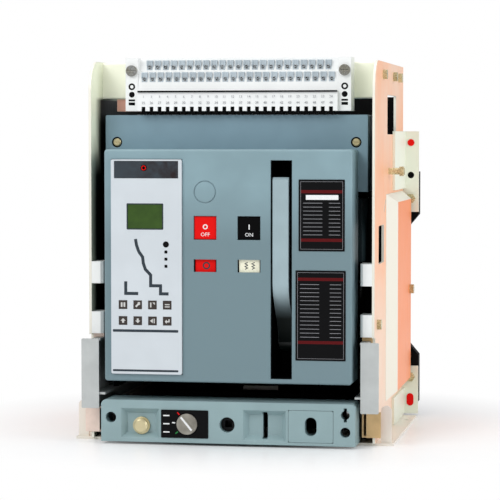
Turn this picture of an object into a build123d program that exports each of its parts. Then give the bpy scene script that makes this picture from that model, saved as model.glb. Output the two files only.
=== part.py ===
from build123d import *
import math
import os

# Draw-out air circuit breaker in its cradle, in the connected position.
# X runs across the front, +Y to the rear and +Z up. The origin is on the floor, in the middle of
# the width and of the depth. Sizes are in millimetres.

os.makedirs("parts", exist_ok=True)

# Overall sizes
overall_depth = 420.0
trip_proud = 3.0
seat_gap = 0.3
running_gap = 0.05
slide_gap = 0.1

# Cradle side plates, bottom pan and top beam
plate_t = 3.0
side_room = 18.3
foot_flange = 20.2
plate_under_block = 4.0
plate_past_base = 17.6
plate_setback = 20.6
plate_corner_r = 34.0
plate_step = 9.4
plate_rear_cut = 30.0
window_front = 123.0
window_drop = 61.5
window_length = 93.0
window_height = 47.0
slot_front = 38.0
slot_length = 53.0
slot_z = 230.0
slot_height = 44.0
slit_front = 101.0
slit_long = 24.0
slit_angle = 35.0
slit_width = 4.0
pan_t = 3.0
pan_setback = 36.0
foot_hole_r = 4.5
foot_hole_inset = 9.5
foot_hole_pitch = 180.0
lug_height = 43.0
lug_width = 12.5
lug_out = 11.6
beam_height = 42.0
beam_depth = 42.0
beam_setback = 77.5
beam_sheet = 2.5
beam_drop = 1.0
tab_x = 148.0
tab_w = 21.0

# Pressed side pans and rear brackets
side_pan_proud = 11.5
side_pan_sheet = 2.5
side_pan_front = 113.0
side_pan_slope = 26.0
side_pan_fold = 10.0
side_pan_rear_gap = 7.0
side_pan_bottom = 40.0
side_pan_top = 287.0
bracket_t = 3.0
upper_bracket_bottom = 260.0
upper_bracket_top = 362.0
upper_leg_bottom = 290.0
lower_bracket_top = 64.0
lower_leg_top = 36.0
bracket_leg = 118.0
bracket_hole_r = 4.2
bracket_hole_z = 306.7
bracket_bolt_z = 277.0
lower_bolt_z = 50.0
upper_plug_z = 347.8
lower_plug_z = 21.0
plug_r = 4.3
plug_slot = 7.0
plug_proud = 0.8
hex_af = 11.0
hex_height = 5.0
beam_bolt_backs = (80.0, 188.0, 244.0)
guide_bolt_back = 28.0
stud_r = 4.0
stud_z = 314.0
stud_back = 139.0

# Rails
rail_top = 121.0
rail_bottom = 40.0
rail_sheet = 2.5
rail_ledge_z = 58.5
rail_ledge_reach = 13.5
rail_rear_gap = 28.0
rail_pull_setback = 8.0
rail_pull_gap = 2.6
rail_pull_width = 20.8
guide_sheet = 2.0
guide_reach = 12.3
guide_bottom = 10.0
guide_front_width = 16.8
guide_front_inset = 5.2
nylon_reach = 13.5
nylon_length = 28.0
nylon_height = 25.5
nylon_z_low = 139.0
nylon_z_high = 197.5

# Base front box
base_side_gap = 15.9
base_height = 48.5
base_depth = 45.0
base_front_t = 14.0
base_wall = 3.0
base_corner_r = 6.0
base_mid_z = 24.9
left_hole_z = 31.0
left_hole_inset = 11.6
left_hole_r = 6.2
lock_x = -102.0
lock_z = 21.4
lock_r = 8.4
lock_collar_r = 10.0
lock_recess_w = 45.0
lock_recess_h = 34.0
recess_depth = 8.0
recess_draft = 6.0
label_x = -49.6
label_w = 55.3
label_h = 32.4
label_t = 0.8
knob_x = -46.8
knob_r = 12.0
knob_proud = 3.0
knob_depth = 6.0
knob_shaft_r = 5.0
crank_hole_r = 8.8
key_recess_x = 43.5
key_recess_w = 50.0
key_recess_h = 35.0
key_slot_w = 5.6
padlock_x = 97.0
padlock_w = 51.5
padlock_h = 36.5
padlock_plate_t = 3.0
padlock_oval_w = 13.6
padlock_oval_h = 21.4
padlock_tongue = 34.0
padlock_tongue_w = 42.0
padlock_tongue_t = 4.0
key_hole_upper_z = 38.8
key_hole_inset = 11.7
key_hole_lower_z = 19.1
key_hole_r = 5.0
key_hole_slot_w = 3.6
key_hole_slot_h = 16.0

# Racking drive
screw_front = 10.0
screw_r = 7.0
screw_socket_r = 8.5
screw_socket_length = 26.0
screw_square = 8.0
screw_rear = 236.0
bearing_back = 226.0
bearing_t = 8.0
bearing_half = 22.0
bearing_height = 42.0
carriage_back = 150.0
carriage_length = 30.0
carriage_side_gap = 28.0
carriage_height = 42.0
carriage_wall = 4.0
nut_r = 14.0
hook_x = 70.0
hook_half = 12.0
hook_t = 9.7
hook_height = 14.0

# Terminal block
block_half = 133.0
block_x = 3.2
block_lift = 4.5
block_height = 62.0
block_depth = 34.5
block_end = 15.0
terminal_pitch = 9.6
terminal_count = 23
pocket_w = 6.2
pocket_depth = 7.0
contact_notch_w = 4.6
contact_notch_h = 5.0
contact_blade_w = 3.4
contact_blade_d = 18.0

# Pole layout, bars and contacts
pole_wall = 15.0
housing_end = 3.5
upper_bar_z = 250.0
lower_bar_z = 100.0
bar_w = 60.0
bar_t = 15.0
bar_hole_r = 5.5
bar_hole_pitch = 30.0
bar_hole_inset = 17.0
bar_seat = 3.0
stab_reach = 20.0
finger_w = 7.0
finger_pitch = 9.6
finger_count = 6
finger_room = 14.0
finger_base_depth = 28.0
finger_length = 40.0
finger_h = 10.0
finger_nose = 6.0
cage_wall = 3.0
cage_depth = 14.0

# Rear insulating base
rear_base_t = 38.0
rear_base_drop = 38.0
rear_base_bottom = 6.0
rear_rib_t = 8.0
rear_rib_top = 300.0
rear_rib_bottom = 40.0
rear_rib_back = 12.0
rear_rib_room = 10.0
guide_room = 0.6
guide_bottom_z = 20.0
guide_top_z = 330.0
ear_upper_top = 311.0
ear_upper_bottom = 257.0
ear_lower_top = 78.0
ear_lower_bottom = 18.0
ear_slope = 24.0

# Safety shutters
shutter_t = 2.5
shutter_room = 4.0
shutter_side_gap = 6.5
shutter_grip = 2.5
shutter_open_travel = 34.0
shutter_rim = 12.0
shutter_cover = 32.0

# Breaker housings
housing_side = 2.0
housing_height = 229.7
front_half_depth = 49.0
rear_half_depth = 53.0
housing_bottom = 62.0
housing_front = 156.0
housing_flange = 7.0
housing_wall = 5.0
chamber_bottom = 76.0
chamber_rear_wall = 23.0
link_window_w = 28.0
link_window_h = 70.0
transformer_gap = 11.0
transformer_h = 56.0
transformer_t = 17.7
chute_h = 105.0
chute_gap = 5.0
chute_front_gap = 9.0
chute_rear_gap = 24.0
chute_slot = 3.0
chute_pitch = 9.0
runner_t = 4.0
runner_height = 56.0
runner_front = 70.0
runner_rear_gap = 4.0
lug_t = 10.0
lug_drop = 8.0

# Moving contacts and main shaft
arm_pivot_ahead = 5.0
arm_pivot_z = 120.0
arm_pin_r = 6.0
arm_half = 25.0
arm_boss_r = 10.0
arm_t = 11.0
arm_tip_h = 24.0
arm_open_deg = 14.0
drive_pin_forward = 12.0
drive_pin_up = 62.0
drive_pin_r = 4.0
shaft_back = 116.0
shaft_z = 168.0
shaft_r = 11.0
shaft_side_gap = 6.0
shaft_arm_w = 10.0
crank_radius = 30.0
crank_t = 5.0
crank_boss_r = 8.0
link_length = 64.0
link_t = 8.0
link_eye_r = 7.5
link_play = 1.0

# Hood and bezel
hood_side = 11.0
hood_height = 88.8
hood_setback = 54.0
hood_rear_gap = 8.0
hood_wall = 4.0
hood_screw_inset = 13.5
hood_screw_drop = 31.7
hood_bore_r = 6.2
hood_bore_depth = 2.5
hood_screw_r = 4.6
bezel_bottom = 73.2
bezel_under_hood = 39.8
bezel_wall = 3.0
bezel_edge_r = 2.5
knockout_shift = -0.1
knockout_z = 292.1
knockout_r = 13.0
knockout_groove = 1.2
button_w = 26.6
button_gap = 24.4
button_to_well = 11.7
button_z = 251.0
button_h = 27.2
button_sunk = 1.6
button_depth = 14.0
button_stem = 16.0
collar_t = 1.6
collar_depth = 10.0
flag_z = 207.6
flag_h = 14.4
flag_travel = 16.0
flag_t = 2.0
flag_inset = 1.5
plate_one_shift = 1.1
plate_one_z = 266.0
plate_one_w = 52.5
plate_one_h = 81.0
plate_two_z = 152.0
plate_two_w = 57.2
well_to_plate = 4.4
plate_to_edge = 7.2
plate_two_h = 102.5
nameplate_t = 1.0
nameplate_sunk = 0.5

# Charging handle, well, shaft, springs
well_w = 24.7
well_bottom = 78.7
well_under_edge = 12.3
well_wall = 1.5
well_depth = 86.0
handle_w = 18.3
handle_side_gap = 2.2
handle_under_well = 19.4
handle_flat_bottom = 194.0
handle_sunk = 1.0
handle_t = 14.0
handle_hub_r = 14.0
handle_pivot_back = 60.0
handle_pivot_z = 118.0
charge_shaft_r = 7.0
ratchet_r = 20.0
ratchet_teeth = 20
ratchet_tooth = 3.0
ratchet_t = 3.2
cam_r = 15.0
cam_throw = 9.0
cam_t = 8.0
cam_gap = 5.0
frame_t = 3.0
frame_from_trip = 5.2
frame_from_well = 8.8
frame_bottom = 84.0
frame_top = 285.0
frame_rod_r = 4.0
frame_foot_w = 16.0
frame_rod_inset = 12.0
frame_cut = 45.0
frame_window_back = 82.0
frame_window_drop = 60.0
frame_window_w = 44.0
frame_window_h = 40.0
frame_foot_drop = 40.0
frame_foot_h = 20.0
frame_rod_upper_back = 142.0
frame_rod_lower_back = 140.0
spring_r = 12.0
spring_wire = 3.2
spring_turns = 9
spring_x = 17.0
spring_mid_x = 8.0
spring_back = 91.0
spring_bottom = 94.0
spring_length = 66.0
crosshead_t = 8.0

# Trip unit
edge_to_trip = 8.7
trip_width = 83.1
trip_to_button = 13.4
trip_under_edge = 11.5
tinted_margin_left = 3.9
tinted_margin_right = 4.1
tinted_margin_top = 1.9
tinted_h = 19.7
screen_margin = 19.1
screen_w = 42.0
key_margin = 14.0
led_margin = 18.4
reset_margin = 38.7
reset_drop = 7.8
trip_bottom = 82.0
trip_depth = 70.0
trip_clear = 0.3
trip_corner_r = 2.0
screen_bottom = 249.2
screen_top = 278.2
insert_gap = 0.15
insert_sunk = 0.6
key_size = 9.9
key_pitch_x = 17.35
key_z = 162.0
key_pitch_z = 18.4
key_sunk = 0.2
led_big_z = 231.8
led_big_r = 3.4
led_z = 223.1
led_pitch = 8.2
led_r = 1.7
groove_z_high = 132.0
groove_z_low = 86.0
groove_w = 1.2
groove_depth = 0.8
reset_r = 3.4
reset_travel = 3.0
reset_length = 12.0

# Auxiliaries in the breaker
motor_room = 46.3
motor_back = 112.0
motor_z = 130.0
motor_r = 21.0
motor_length = 68.0
gearbox_w = 12.0
coil_r = 13.0
coil_length = 34.0
coil_back = 90.0
coil_z = 260.0
coil_foot_rise = 2.0
coil_pitch = 28.0
switch_w = 38.0
switch_h = 74.0
switch_depth = 66.0
plug_half = 118.0
plug_depth = 34.0
plug_height = 16.0
plug_setback = 4.0

# Places along the front, from the trip unit at the left to the nameplates at the right
left_share = edge_to_trip + trip_width + trip_to_button + 2 * button_w + button_gap
right_share = button_to_well + well_w + well_to_plate + plate_two_w + plate_to_edge
bezel_half = (left_share + right_share) / 2
trip_left = -bezel_half + edge_to_trip
trip_right = trip_left + trip_width
off_x = trip_right + trip_to_button + button_w / 2
on_x = off_x + button_w + button_gap
well_left = on_x + button_w / 2 + button_to_well
well_right = well_left + well_w
plate_two_x = well_right + well_to_plate + plate_two_w / 2
plate_one_x = plate_two_x + plate_one_shift
knockout_x = off_x + knockout_shift
handle_left = well_left + handle_side_gap
tinted_left = trip_left + tinted_margin_left
tinted_right = trip_right - tinted_margin_right
screen_left = trip_left + screen_margin
screen_right = screen_left + screen_w
key_x = trip_left + key_margin
led_x = trip_right - led_margin
reset_x = trip_left + reset_margin
frame_left = trip_right + frame_from_trip
frame_right = well_right + frame_from_well
cam_left = frame_left + cam_gap
motor_x = frame_left - motor_room

# Widths of the body and of the cradle round it
hood_half = bezel_half + hood_side
hood_screw_x = hood_half - hood_screw_inset
housing_half = bezel_half + housing_side
pole_pitch = (housing_half - housing_end) / 1.5
chamber_w = pole_pitch - pole_wall
transformer_w = pole_pitch - transformer_gap
shutter_half = housing_half - shutter_side_gap
shaft_half = housing_half - shaft_side_gap
carriage_half = housing_half - carriage_side_gap
inner_x = housing_half + side_room
outer_x = inner_x + plate_t
half_width = outer_x + foot_flange
base_half = inner_x - base_side_gap
left_hole_x = -base_half + left_hole_inset
key_hole_x = base_half - key_hole_inset

# Heights from the housing up
housing_top = housing_bottom + housing_height
hood_top = housing_top + hood_height
hood_screw_z = hood_top - hood_screw_drop
bezel_top = hood_top - bezel_under_hood
trip_top = bezel_top - trip_under_edge
tinted_top = trip_top - tinted_margin_top
tinted_bottom = tinted_top - tinted_h
reset_z = tinted_top - reset_drop
well_top = bezel_top - well_under_edge
handle_top = well_top - handle_under_well
block_bottom = hood_top + block_lift
block_top = block_bottom + block_height
plate_top = block_top - plate_under_block
window_z = plate_top - window_drop
rear_base_top = plate_top - rear_base_drop

# Distances behind the front cover's face
housing_split = housing_front + front_half_depth
housing_rear = housing_split + rear_half_depth
chute_front = housing_front + chute_front_gap
chute_rear = housing_rear - chute_rear_gap
runner_rear = housing_rear - runner_rear_gap
arm_pivot_back = housing_split - arm_pivot_ahead
hood_rear = housing_rear - hood_rear_gap
guide_front = housing_rear + guide_room
shutter_setback = housing_rear + shutter_room
rear_rib_front = housing_rear + rear_rib_room
finger_front = housing_rear + finger_room
stab_rear = finger_front + stab_reach
rear_base_front = finger_front + finger_base_depth
bar_front = rear_base_front - bar_seat
pan_depth = rear_base_front - pan_setback
plate_depth = rear_base_front + plate_past_base - plate_setback

# Reference planes
face_y = -overall_depth / 2 + trip_proud
rear_y = overall_depth / 2
plate_y = face_y + plate_setback
plate_rear_y = plate_y + plate_depth
hood_y = face_y + hood_setback
beam_y = face_y + beam_setback
poles = (-pole_pitch, 0.0, pole_pitch)


def back(distance):
    """The Y of a plane that lies so far behind the bezel's face."""
    return face_y + distance


def block(x0, x1, y0, y1, z0, z1):
    """A box between two corners."""
    return Pos((x0 + x1) / 2, (y0 + y1) / 2, (z0 + z1) / 2) * Box(x1 - x0, y1 - y0, z1 - z0)


def along_x(face, x0, x1):
    """Extrude a sketch drawn in (Y, Z) from x0 to x1."""
    return extrude(Plane.YZ.offset(x0) * face, x1 - x0)


def along_y(face, y0, y1):
    """Extrude a sketch drawn in (X, Z) from y0 to y1."""
    return extrude(Plane.XZ.offset(-y1) * face, y1 - y0)


def along_z(face, z0, z1):
    """Extrude a sketch drawn in (X, Y) from z0 to z1."""
    return extrude(Plane.XY.offset(z0) * face, z1 - z0)


def rod_x(y, z, x0, x1, radius):
    return along_x(Pos(y, z) * Circle(radius), x0, x1)


def rod_y(x, z, y0, y1, radius):
    return along_y(Pos(x, z) * Circle(radius), y0, y1)


def rod_z(x, y, z0, z1, radius):
    return along_z(Pos(x, y) * Circle(radius), z0, z1)


def polygon(*points):
    return make_face(Polyline(*points, close=True))


def span(x0, x1, z0, z1):
    """A rectangle sketch between two corners."""
    return Pos((x0 + x1) / 2, (z0 + z1) / 2) * Rectangle(x1 - x0, z1 - z0)


def turned(radius, angle_deg):
    """The (Y, Z) offset of a point at a radius, turned from +Y towards +Z."""
    angle = math.radians(angle_deg)
    return radius * math.cos(angle), radius * math.sin(angle)


def mirrored(shape):
    return mirror(shape, about=Plane.YZ)


def both_sides(shape):
    return [shape, mirrored(shape)]


def save(name, *solids):
    """Write one node: a single solid, or a group of separate solids."""
    shapes = []
    for item in solids:
        shapes.extend(item.solids())
    shape = shapes[0] if len(shapes) == 1 else Compound(children=shapes)
    export_step(shape, f"parts/{name}.step")


# Cradle

def side_plate(pierced):
    """Side plate with a rounded top corner and a stepped front edge. The pierced one has openings."""
    step_z = nylon_z_low - nylon_height / 2 - guide_sheet / 2
    stepped_y = plate_y + plate_step
    outline = polygon(
        (stepped_y, pan_t), (plate_rear_y - plate_rear_cut, pan_t), (plate_rear_y, pan_t + plate_rear_cut),
        (plate_rear_y, plate_top), (plate_y, plate_top), (plate_y, step_z), (stepped_y, step_z))
    corner = outline.vertices().group_by(Axis.Y)[-1].sort_by(Axis.X)[0]
    outline = fillet(corner, plate_corner_r)
    if pierced:
        window_y = plate_y + window_front + window_length / 2
        slot_y = plate_y + slot_front + slot_length / 2
        slit = Rot(0, 0, slit_angle) * SlotOverall(slit_long, slit_width)
        outline -= Pos(window_y, window_z) * RectangleRounded(window_length, window_height, 3)
        outline -= Pos(slot_y, slot_z) * RectangleRounded(slot_length, slot_height, 3)
        outline -= Pos(plate_y + slit_front, slot_z + slot_height) * slit
    return along_x(outline, inner_x, outer_x)


def side_pan():
    """Right pressed pan on the outer face of the plate: sloping front, top and bottom, open rear."""
    def tray(foot_x, top_x, inset):
        front = plate_y + side_pan_front + inset
        low = side_pan_bottom + inset
        high = side_pan_top - inset
        rear = plate_rear_y - side_pan_rear_gap + inset
        foot = Plane.YZ.offset(foot_x) * span(front, rear, low, high)
        top = span(front + side_pan_slope, rear, low + side_pan_fold, high - side_pan_fold)
        return loft([foot, Plane.YZ.offset(top_x) * top])
    shell = tray(outer_x, outer_x + side_pan_proud, 0)
    hollow = tray(outer_x, outer_x + side_pan_proud - side_pan_sheet, side_pan_sheet)
    return shell - hollow


def bottom_pan():
    """Base sheet with foot flanges, front lugs and the rear bearing of the racking screw."""
    rear = back(pan_setback + pan_depth)
    front = back(pan_setback)
    sheet = span(-half_width, half_width, front, rear)
    centre = (front + rear) / 2
    for x in (-1, 1):
        for y in (-1, 1):
            hole_x = x * (half_width - foot_hole_inset)
            sheet -= Pos(hole_x, centre + y * foot_hole_pitch / 2) * Circle(foot_hole_r)
    pan = along_z(sheet, 0, pan_t)
    lug_x = outer_x + lug_out
    lug = Pos(lug_x, pan_t + lug_height / 2) * RectangleRounded(lug_width, lug_height, lug_width / 2 - 0.1)
    lug += span(lug_x - lug_width / 2, lug_x + lug_width / 2, pan_t, pan_t + lug_height / 2)
    lug = along_y(lug, front + pan_t, front + 2 * pan_t)
    pan += lug + mirrored(lug)
    bearing = span(-bearing_half, bearing_half, pan_t, pan_t + bearing_height)
    bearing -= Pos(0, base_mid_z) * Circle(screw_r + running_gap)
    pan += along_y(bearing, back(bearing_back), back(bearing_back) + bearing_t)
    return pan


def top_crossbeam():
    """Folded channel between the side plates, open to the rear, with a tab below its left end."""
    top = plate_top - beam_drop
    low = top - beam_height
    section = span(beam_y, beam_y + beam_depth, low, top)
    section = fillet(section.vertices().group_by(Axis.X)[0], 2)
    section -= span(beam_y + beam_sheet, beam_y + beam_depth, low + beam_sheet, top - beam_sheet)
    left = -tab_x
    tab = span(beam_y + 2 * beam_sheet, beam_y + beam_depth, block_bottom, low + beam_sheet)
    return along_x(section, -inner_x, inner_x) + along_x(tab, left, left + tab_w)


def terminal_block():
    """Stepped moulded block with two rows of wire pockets and a notched lower edge."""
    front = beam_y - block_depth
    middle = (block_bottom + block_top) / 2
    upper_z = block_top - (block_top - block_bottom) * 0.27
    section = polygon(
        (beam_y, block_bottom), (front, block_bottom), (front + 2, middle - 8), (front + 6, middle - 7),
        (front + 8, upper_z), (front + 13, upper_z + 1), (front + 16, block_top), (beam_y, block_top))
    end_section = span(front + 6, beam_y, block_bottom, block_top)
    body_half = block_half - block_end
    body = along_x(section, -body_half, body_half)
    body += along_x(end_section, body_half, block_half)
    body += along_x(end_section, -block_half, -body_half)
    pockets = []
    for row, count in ((0, terminal_count), (1, terminal_count + 1)):
        pocket_z = upper_z + 9 if row == 0 else upper_z - 5
        pocket_y = front + (14 if row == 0 else 6)
        for index in range(count):
            x = (index - (count - 1) / 2) * terminal_pitch
            low = pocket_z - pocket_w / 2
            pockets.append(block(x - pocket_w / 2, x + pocket_w / 2, pocket_y - 4, pocket_y + pocket_depth,
                                 low, low + pocket_w))
    for x in contact_positions():
        half = contact_notch_w / 2
        pockets.append(block(x - half, x + half, front - 1, front + contact_blade_d + 2,
                             block_bottom - 1, block_bottom + contact_notch_h))
    return Pos(block_x, 0, 0) * (body - pockets)


def contact_positions():
    count = terminal_count + 1
    return [(index - (count - 1) / 2) * terminal_pitch for index in range(count)]


def secondary_fingers():
    """Sprung blades that hang from the terminal block onto the plug on the hood."""
    front = beam_y - block_depth + 2
    low = plug_face_z() + seat_gap
    blades = []
    for x in contact_positions():
        blades.append(block(x - contact_blade_w / 2, x + contact_blade_w / 2, front, front + contact_blade_d,
                            low, block_bottom + contact_notch_h))
    return [Pos(block_x, 0, 0) * blade for blade in blades]


def mounting_brackets():
    """Four angle brackets on the rear edges of the plates."""
    leg_front = plate_rear_y - bracket_leg
    ear = span(inner_x, half_width, upper_bracket_bottom, upper_bracket_top)
    hole_x = (outer_x + half_width) / 2
    ear -= Pos(hole_x, bracket_hole_z) * Circle(bracket_hole_r)
    ear -= Pos(hole_x, upper_plug_z) * Circle(plug_r + running_gap)
    upper = along_y(ear, plate_rear_y, plate_rear_y + bracket_t)
    upper += block(outer_x, outer_x + bracket_t, leg_front, plate_rear_y, upper_leg_bottom, upper_bracket_top)
    foot = span(inner_x, half_width, pan_t, lower_bracket_top)
    oval = SlotCenterToCenter(plug_slot, 2 * (plug_r + running_gap))
    foot -= Pos(hole_x, lower_plug_z) * Rot(0, 0, 90) * oval
    lower = along_y(foot, plate_rear_y, plate_rear_y + bracket_t)
    lower += block(outer_x, outer_x + bracket_t, leg_front, plate_rear_y, pan_t, lower_leg_top)
    return both_sides(upper) + both_sides(lower)


def red_plugs():
    """Coloured plugs in the brackets' spare holes."""
    hole_x = (outer_x + half_width) / 2
    front = plate_rear_y - plug_proud
    rear = plate_rear_y + bracket_t
    round_plug = rod_y(hole_x, upper_plug_z, front, rear, plug_r)
    oval = Pos(hole_x, lower_plug_z) * Rot(0, 0, 90) * SlotCenterToCenter(plug_slot, 2 * plug_r)
    return both_sides(round_plug) + both_sides(along_y(oval, front, rear))


def cradle_bolts():
    """Hexagon heads on the plates and brackets, and the long studs at mid height."""
    radius = hex_af / math.sqrt(3)
    hexagon = RegularPolygon(radius, 6)
    heads = []
    beam_mid = plate_top - beam_drop - beam_height / 3
    spots = [(plate_setback + distance, beam_mid) for distance in beam_bolt_backs]
    spots.append((plate_setback + guide_bolt_back, nylon_z_low))
    for distance, z in spots:
        heads.append(along_x(Pos(back(distance), z) * hexagon, outer_x, outer_x + hex_height))
    pan_x = outer_x + side_pan_proud
    pan_edge = plate_rear_y - side_pan_rear_gap - hex_af
    heads.append(along_x(Pos(pan_edge, (side_pan_bottom + side_pan_top) / 2) * hexagon, pan_x,
                         pan_x + hex_height))
    bolt_x = (outer_x + half_width) / 2
    for z in (bracket_bolt_z, lower_bolt_z):
        heads.append(along_y(Pos(bolt_x, z) * hexagon, plate_rear_y - hex_height, plate_rear_y))
    stud_y = plate_y + stud_back
    stud = rod_x(stud_y, stud_z, outer_x, half_width - 1, stud_r)
    stud += along_x(Pos(stud_y, stud_z) * hexagon, half_width - 2 - hex_height, half_width - 2)
    heads.append(stud)
    solids = []
    for head in heads:
        solids.extend(both_sides(head))
    front = beam_y - block_depth + 6
    for side in (-1, 1):
        x = block_x + side * (block_half - block_end / 2)
        head = rod_y(x, block_top - block_end, front - 3, front, block_end / 2 - 1)
        head -= block(x - 5, x + 5, front - 4, front - 2, block_top - block_end - 0.7,
                      block_top - block_end + 0.7)
        solids.append(head)
    return solids


def nylon_guides():
    """White guide blocks on the plates' inner faces, with a chamfered lead-in."""
    blocks = []
    for z in (nylon_z_low, nylon_z_high):
        low = z - nylon_height / 2
        high = low + nylon_height
        guide = block(inner_x - nylon_reach, inner_x, plate_y, plate_y + nylon_length, low, high)
        edge = guide.edges().filter_by(Axis.Z).sort_by(Axis.X)[0:2].sort_by(Axis.Y)[0]
        blocks.extend(both_sides(chamfer(edge, 3)))
    return blocks


def guide_rail():
    """Right fixed rail: a folded channel with a closed lower leg and a front flange."""
    top = nylon_z_low - nylon_height / 2 - seat_gap
    reach = inner_x - guide_reach
    web = inner_x - guide_sheet
    shelf = rail_bottom - seat_gap
    section = span(web, inner_x, guide_bottom, top)
    section += span(reach, inner_x, rail_top + seat_gap, top)
    section += span(reach, inner_x, shelf - guide_sheet, shelf)
    section += span(reach, reach + guide_sheet, guide_bottom, shelf)
    section += span(reach, inner_x, guide_bottom, guide_bottom + guide_sheet)
    start = plate_y + plate_step
    rail = along_y(section, start, back(rear_base_front) - seat_gap)
    left = reach + guide_front_inset
    rail += block(left, left + guide_front_width, start - guide_sheet, start, guide_bottom, shelf)
    return rail


def rail_outer_x():
    return inner_x - guide_sheet - seat_gap


def extension_rail():
    """Right sliding rail: web, top flange, carrying ledge and a bent front pull plate."""
    outer = rail_outer_x()
    inner = outer - rail_sheet
    section = span(inner, outer, rail_bottom, rail_top)
    section += span(inner - rail_ledge_reach + guide_reach / 2, outer, rail_top - rail_sheet, rail_top)
    section += span(inner - rail_ledge_reach, outer, rail_ledge_z - rail_sheet, rail_ledge_z)
    front = back(rail_pull_setback)
    rail = along_y(section, front + rail_sheet, back(rear_base_front - rail_rear_gap))
    pull_left = runner_outer_x() + rail_pull_gap
    pull = Pos(pull_left + rail_pull_width / 2, (rail_bottom + rail_top) / 2)
    pull = pull * RectangleRounded(rail_pull_width, rail_top - rail_bottom, 1.5)
    return rail + along_y(pull, front, front + rail_sheet)


def runner_outer_x():
    return housing_half + runner_t + seat_gap


def base_front_box():
    """Moulded box under the breaker with sunk panels, lock, indicator and crank openings."""
    y0 = back(0)
    low = pan_t
    high = pan_t + base_height
    outline = span(-base_half, base_half, low, high)
    outline = fillet(outline.vertices().group_by(Axis.Y)[-1], base_corner_r)
    box = along_y(outline, y0, y0 + base_depth)
    box -= block(-base_half + base_wall, base_half - base_wall, y0 + base_front_t, y0 + base_depth + 1,
                 low + base_wall, high - base_wall)
    through = y0 + base_front_t + 1
    cuts = [
        rod_y(left_hole_x, left_hole_z, y0 - 1, through, left_hole_r),
        sunk_panel(lock_x, base_mid_z, lock_recess_w, lock_recess_h),
        rod_y(lock_x, lock_z, y0 - 1, through, lock_collar_r + slide_gap),
        rod_y(knob_x, base_mid_z, y0 - 1, y0 + knob_depth + seat_gap, knob_r + seat_gap),
        rod_y(knob_x, base_mid_z, y0 - 1, through, knob_shaft_r + running_gap),
        rod_y(0, base_mid_z, y0 - 1, through, crank_hole_r),
        sunk_panel(key_recess_x, base_mid_z, key_recess_w, key_recess_h),
        block(key_recess_x - key_slot_w / 2, key_recess_x + key_slot_w / 2, y0 - 1, through,
              base_mid_z - key_recess_h / 2 + 2, base_mid_z + key_recess_h / 2 - 2),
        block(padlock_x - padlock_w / 2 - seat_gap, padlock_x + padlock_w / 2 + seat_gap, y0 - 1,
              y0 + padlock_plate_t, base_mid_z - padlock_h / 2 - seat_gap,
              base_mid_z + padlock_h / 2 + seat_gap),
        rod_y(key_hole_x, key_hole_upper_z, y0 - 1, through, key_hole_r),
        along_y(Pos(key_hole_x, key_hole_upper_z) * Rectangle(key_hole_slot_w, key_hole_slot_h),
                y0 - 1, through),
        rod_y(key_hole_x, key_hole_lower_z, y0 - 1, through, key_hole_r + 0.8),
    ]
    for z in padlock_tongue_levels():
        half = padlock_tongue_w / 2 + seat_gap
        cuts.append(block(padlock_x - half, padlock_x + half, y0, through, z - seat_gap,
                          z + padlock_tongue_t + seat_gap))
    oval = Pos(padlock_x, base_mid_z) * Rot(0, 0, 90) * SlotOverall(padlock_oval_h, padlock_oval_w)
    cuts.append(along_y(oval, y0, through))
    return box - cuts


def sunk_panel(x, z, width, height):
    """A recess in the base box with four sloping sides."""
    y0 = back(0)
    mouth = Plane.XZ.offset(-y0) * (Pos(x, z) * Rectangle(width, height))
    floor = Plane.XZ.offset(-(y0 + recess_depth))
    floor = floor * (Pos(x, z) * Rectangle(width - 2 * recess_draft, height - 2 * recess_draft))
    return loft([mouth, floor])


def padlock_tongue_levels():
    low = base_mid_z - padlock_h / 2 + 2
    high = base_mid_z + padlock_h / 2 - 2 - padlock_tongue_t
    return (low, high)


def padlock_slide():
    """Pull-out plate with an oval eye for padlocks, on two flat tongues."""
    y0 = back(0)
    face = Pos(padlock_x, base_mid_z) * RectangleRounded(padlock_w, padlock_h, 2)
    face -= Pos(padlock_x, base_mid_z) * Rot(0, 0, 90) * SlotOverall(padlock_oval_h, padlock_oval_w)
    slide = along_y(face, y0, y0 + padlock_plate_t)
    half = padlock_tongue_w / 2
    for z in padlock_tongue_levels():
        slide += block(padlock_x - half, padlock_x + half, y0 + padlock_plate_t - 0.5,
                       y0 + padlock_plate_t + padlock_tongue, z, z + padlock_tongue_t)
    return slide


def position_label():
    """Thin plate round the position indicator."""
    face = Pos(label_x, base_mid_z) * RectangleRounded(label_w, label_h, 1)
    face -= Pos(knob_x, base_mid_z) * Circle(knob_r + seat_gap)
    return along_y(face, back(0) - label_t, back(0))


def position_indicator():
    """Round pointer knob with a raised bar across its face."""
    y0 = back(0)
    knob = rod_y(knob_x, base_mid_z, y0 - knob_proud + 1, y0 + knob_depth, knob_r)
    bar = Pos(knob_x, base_mid_z) * Rot(0, 0, -50) * RectangleRounded(2 * knob_r - 2, 5, 1)
    knob += along_y(bar, y0 - knob_proud, y0)
    knob += rod_y(knob_x, base_mid_z, y0, y0 + base_depth - base_wall, knob_shaft_r)
    return knob


def lock_button():
    """Brass release button: domed head on a collar, with a stem."""
    y0 = back(0)
    profile = Polyline((0, 0), (lock_r - 2, 0), (lock_r, 1.5), (lock_r, recess_depth - 2),
                       (lock_collar_r, recess_depth - 2), (lock_collar_r, base_front_t - 1),
                       (lock_r / 2, base_front_t - 1), (lock_r / 2, base_depth - 2 * base_wall),
                       (0, base_depth - 2 * base_wall), close=True)
    button = revolve(make_face(profile), Axis.Y)
    return Pos(lock_x, y0, lock_z) * button


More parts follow.
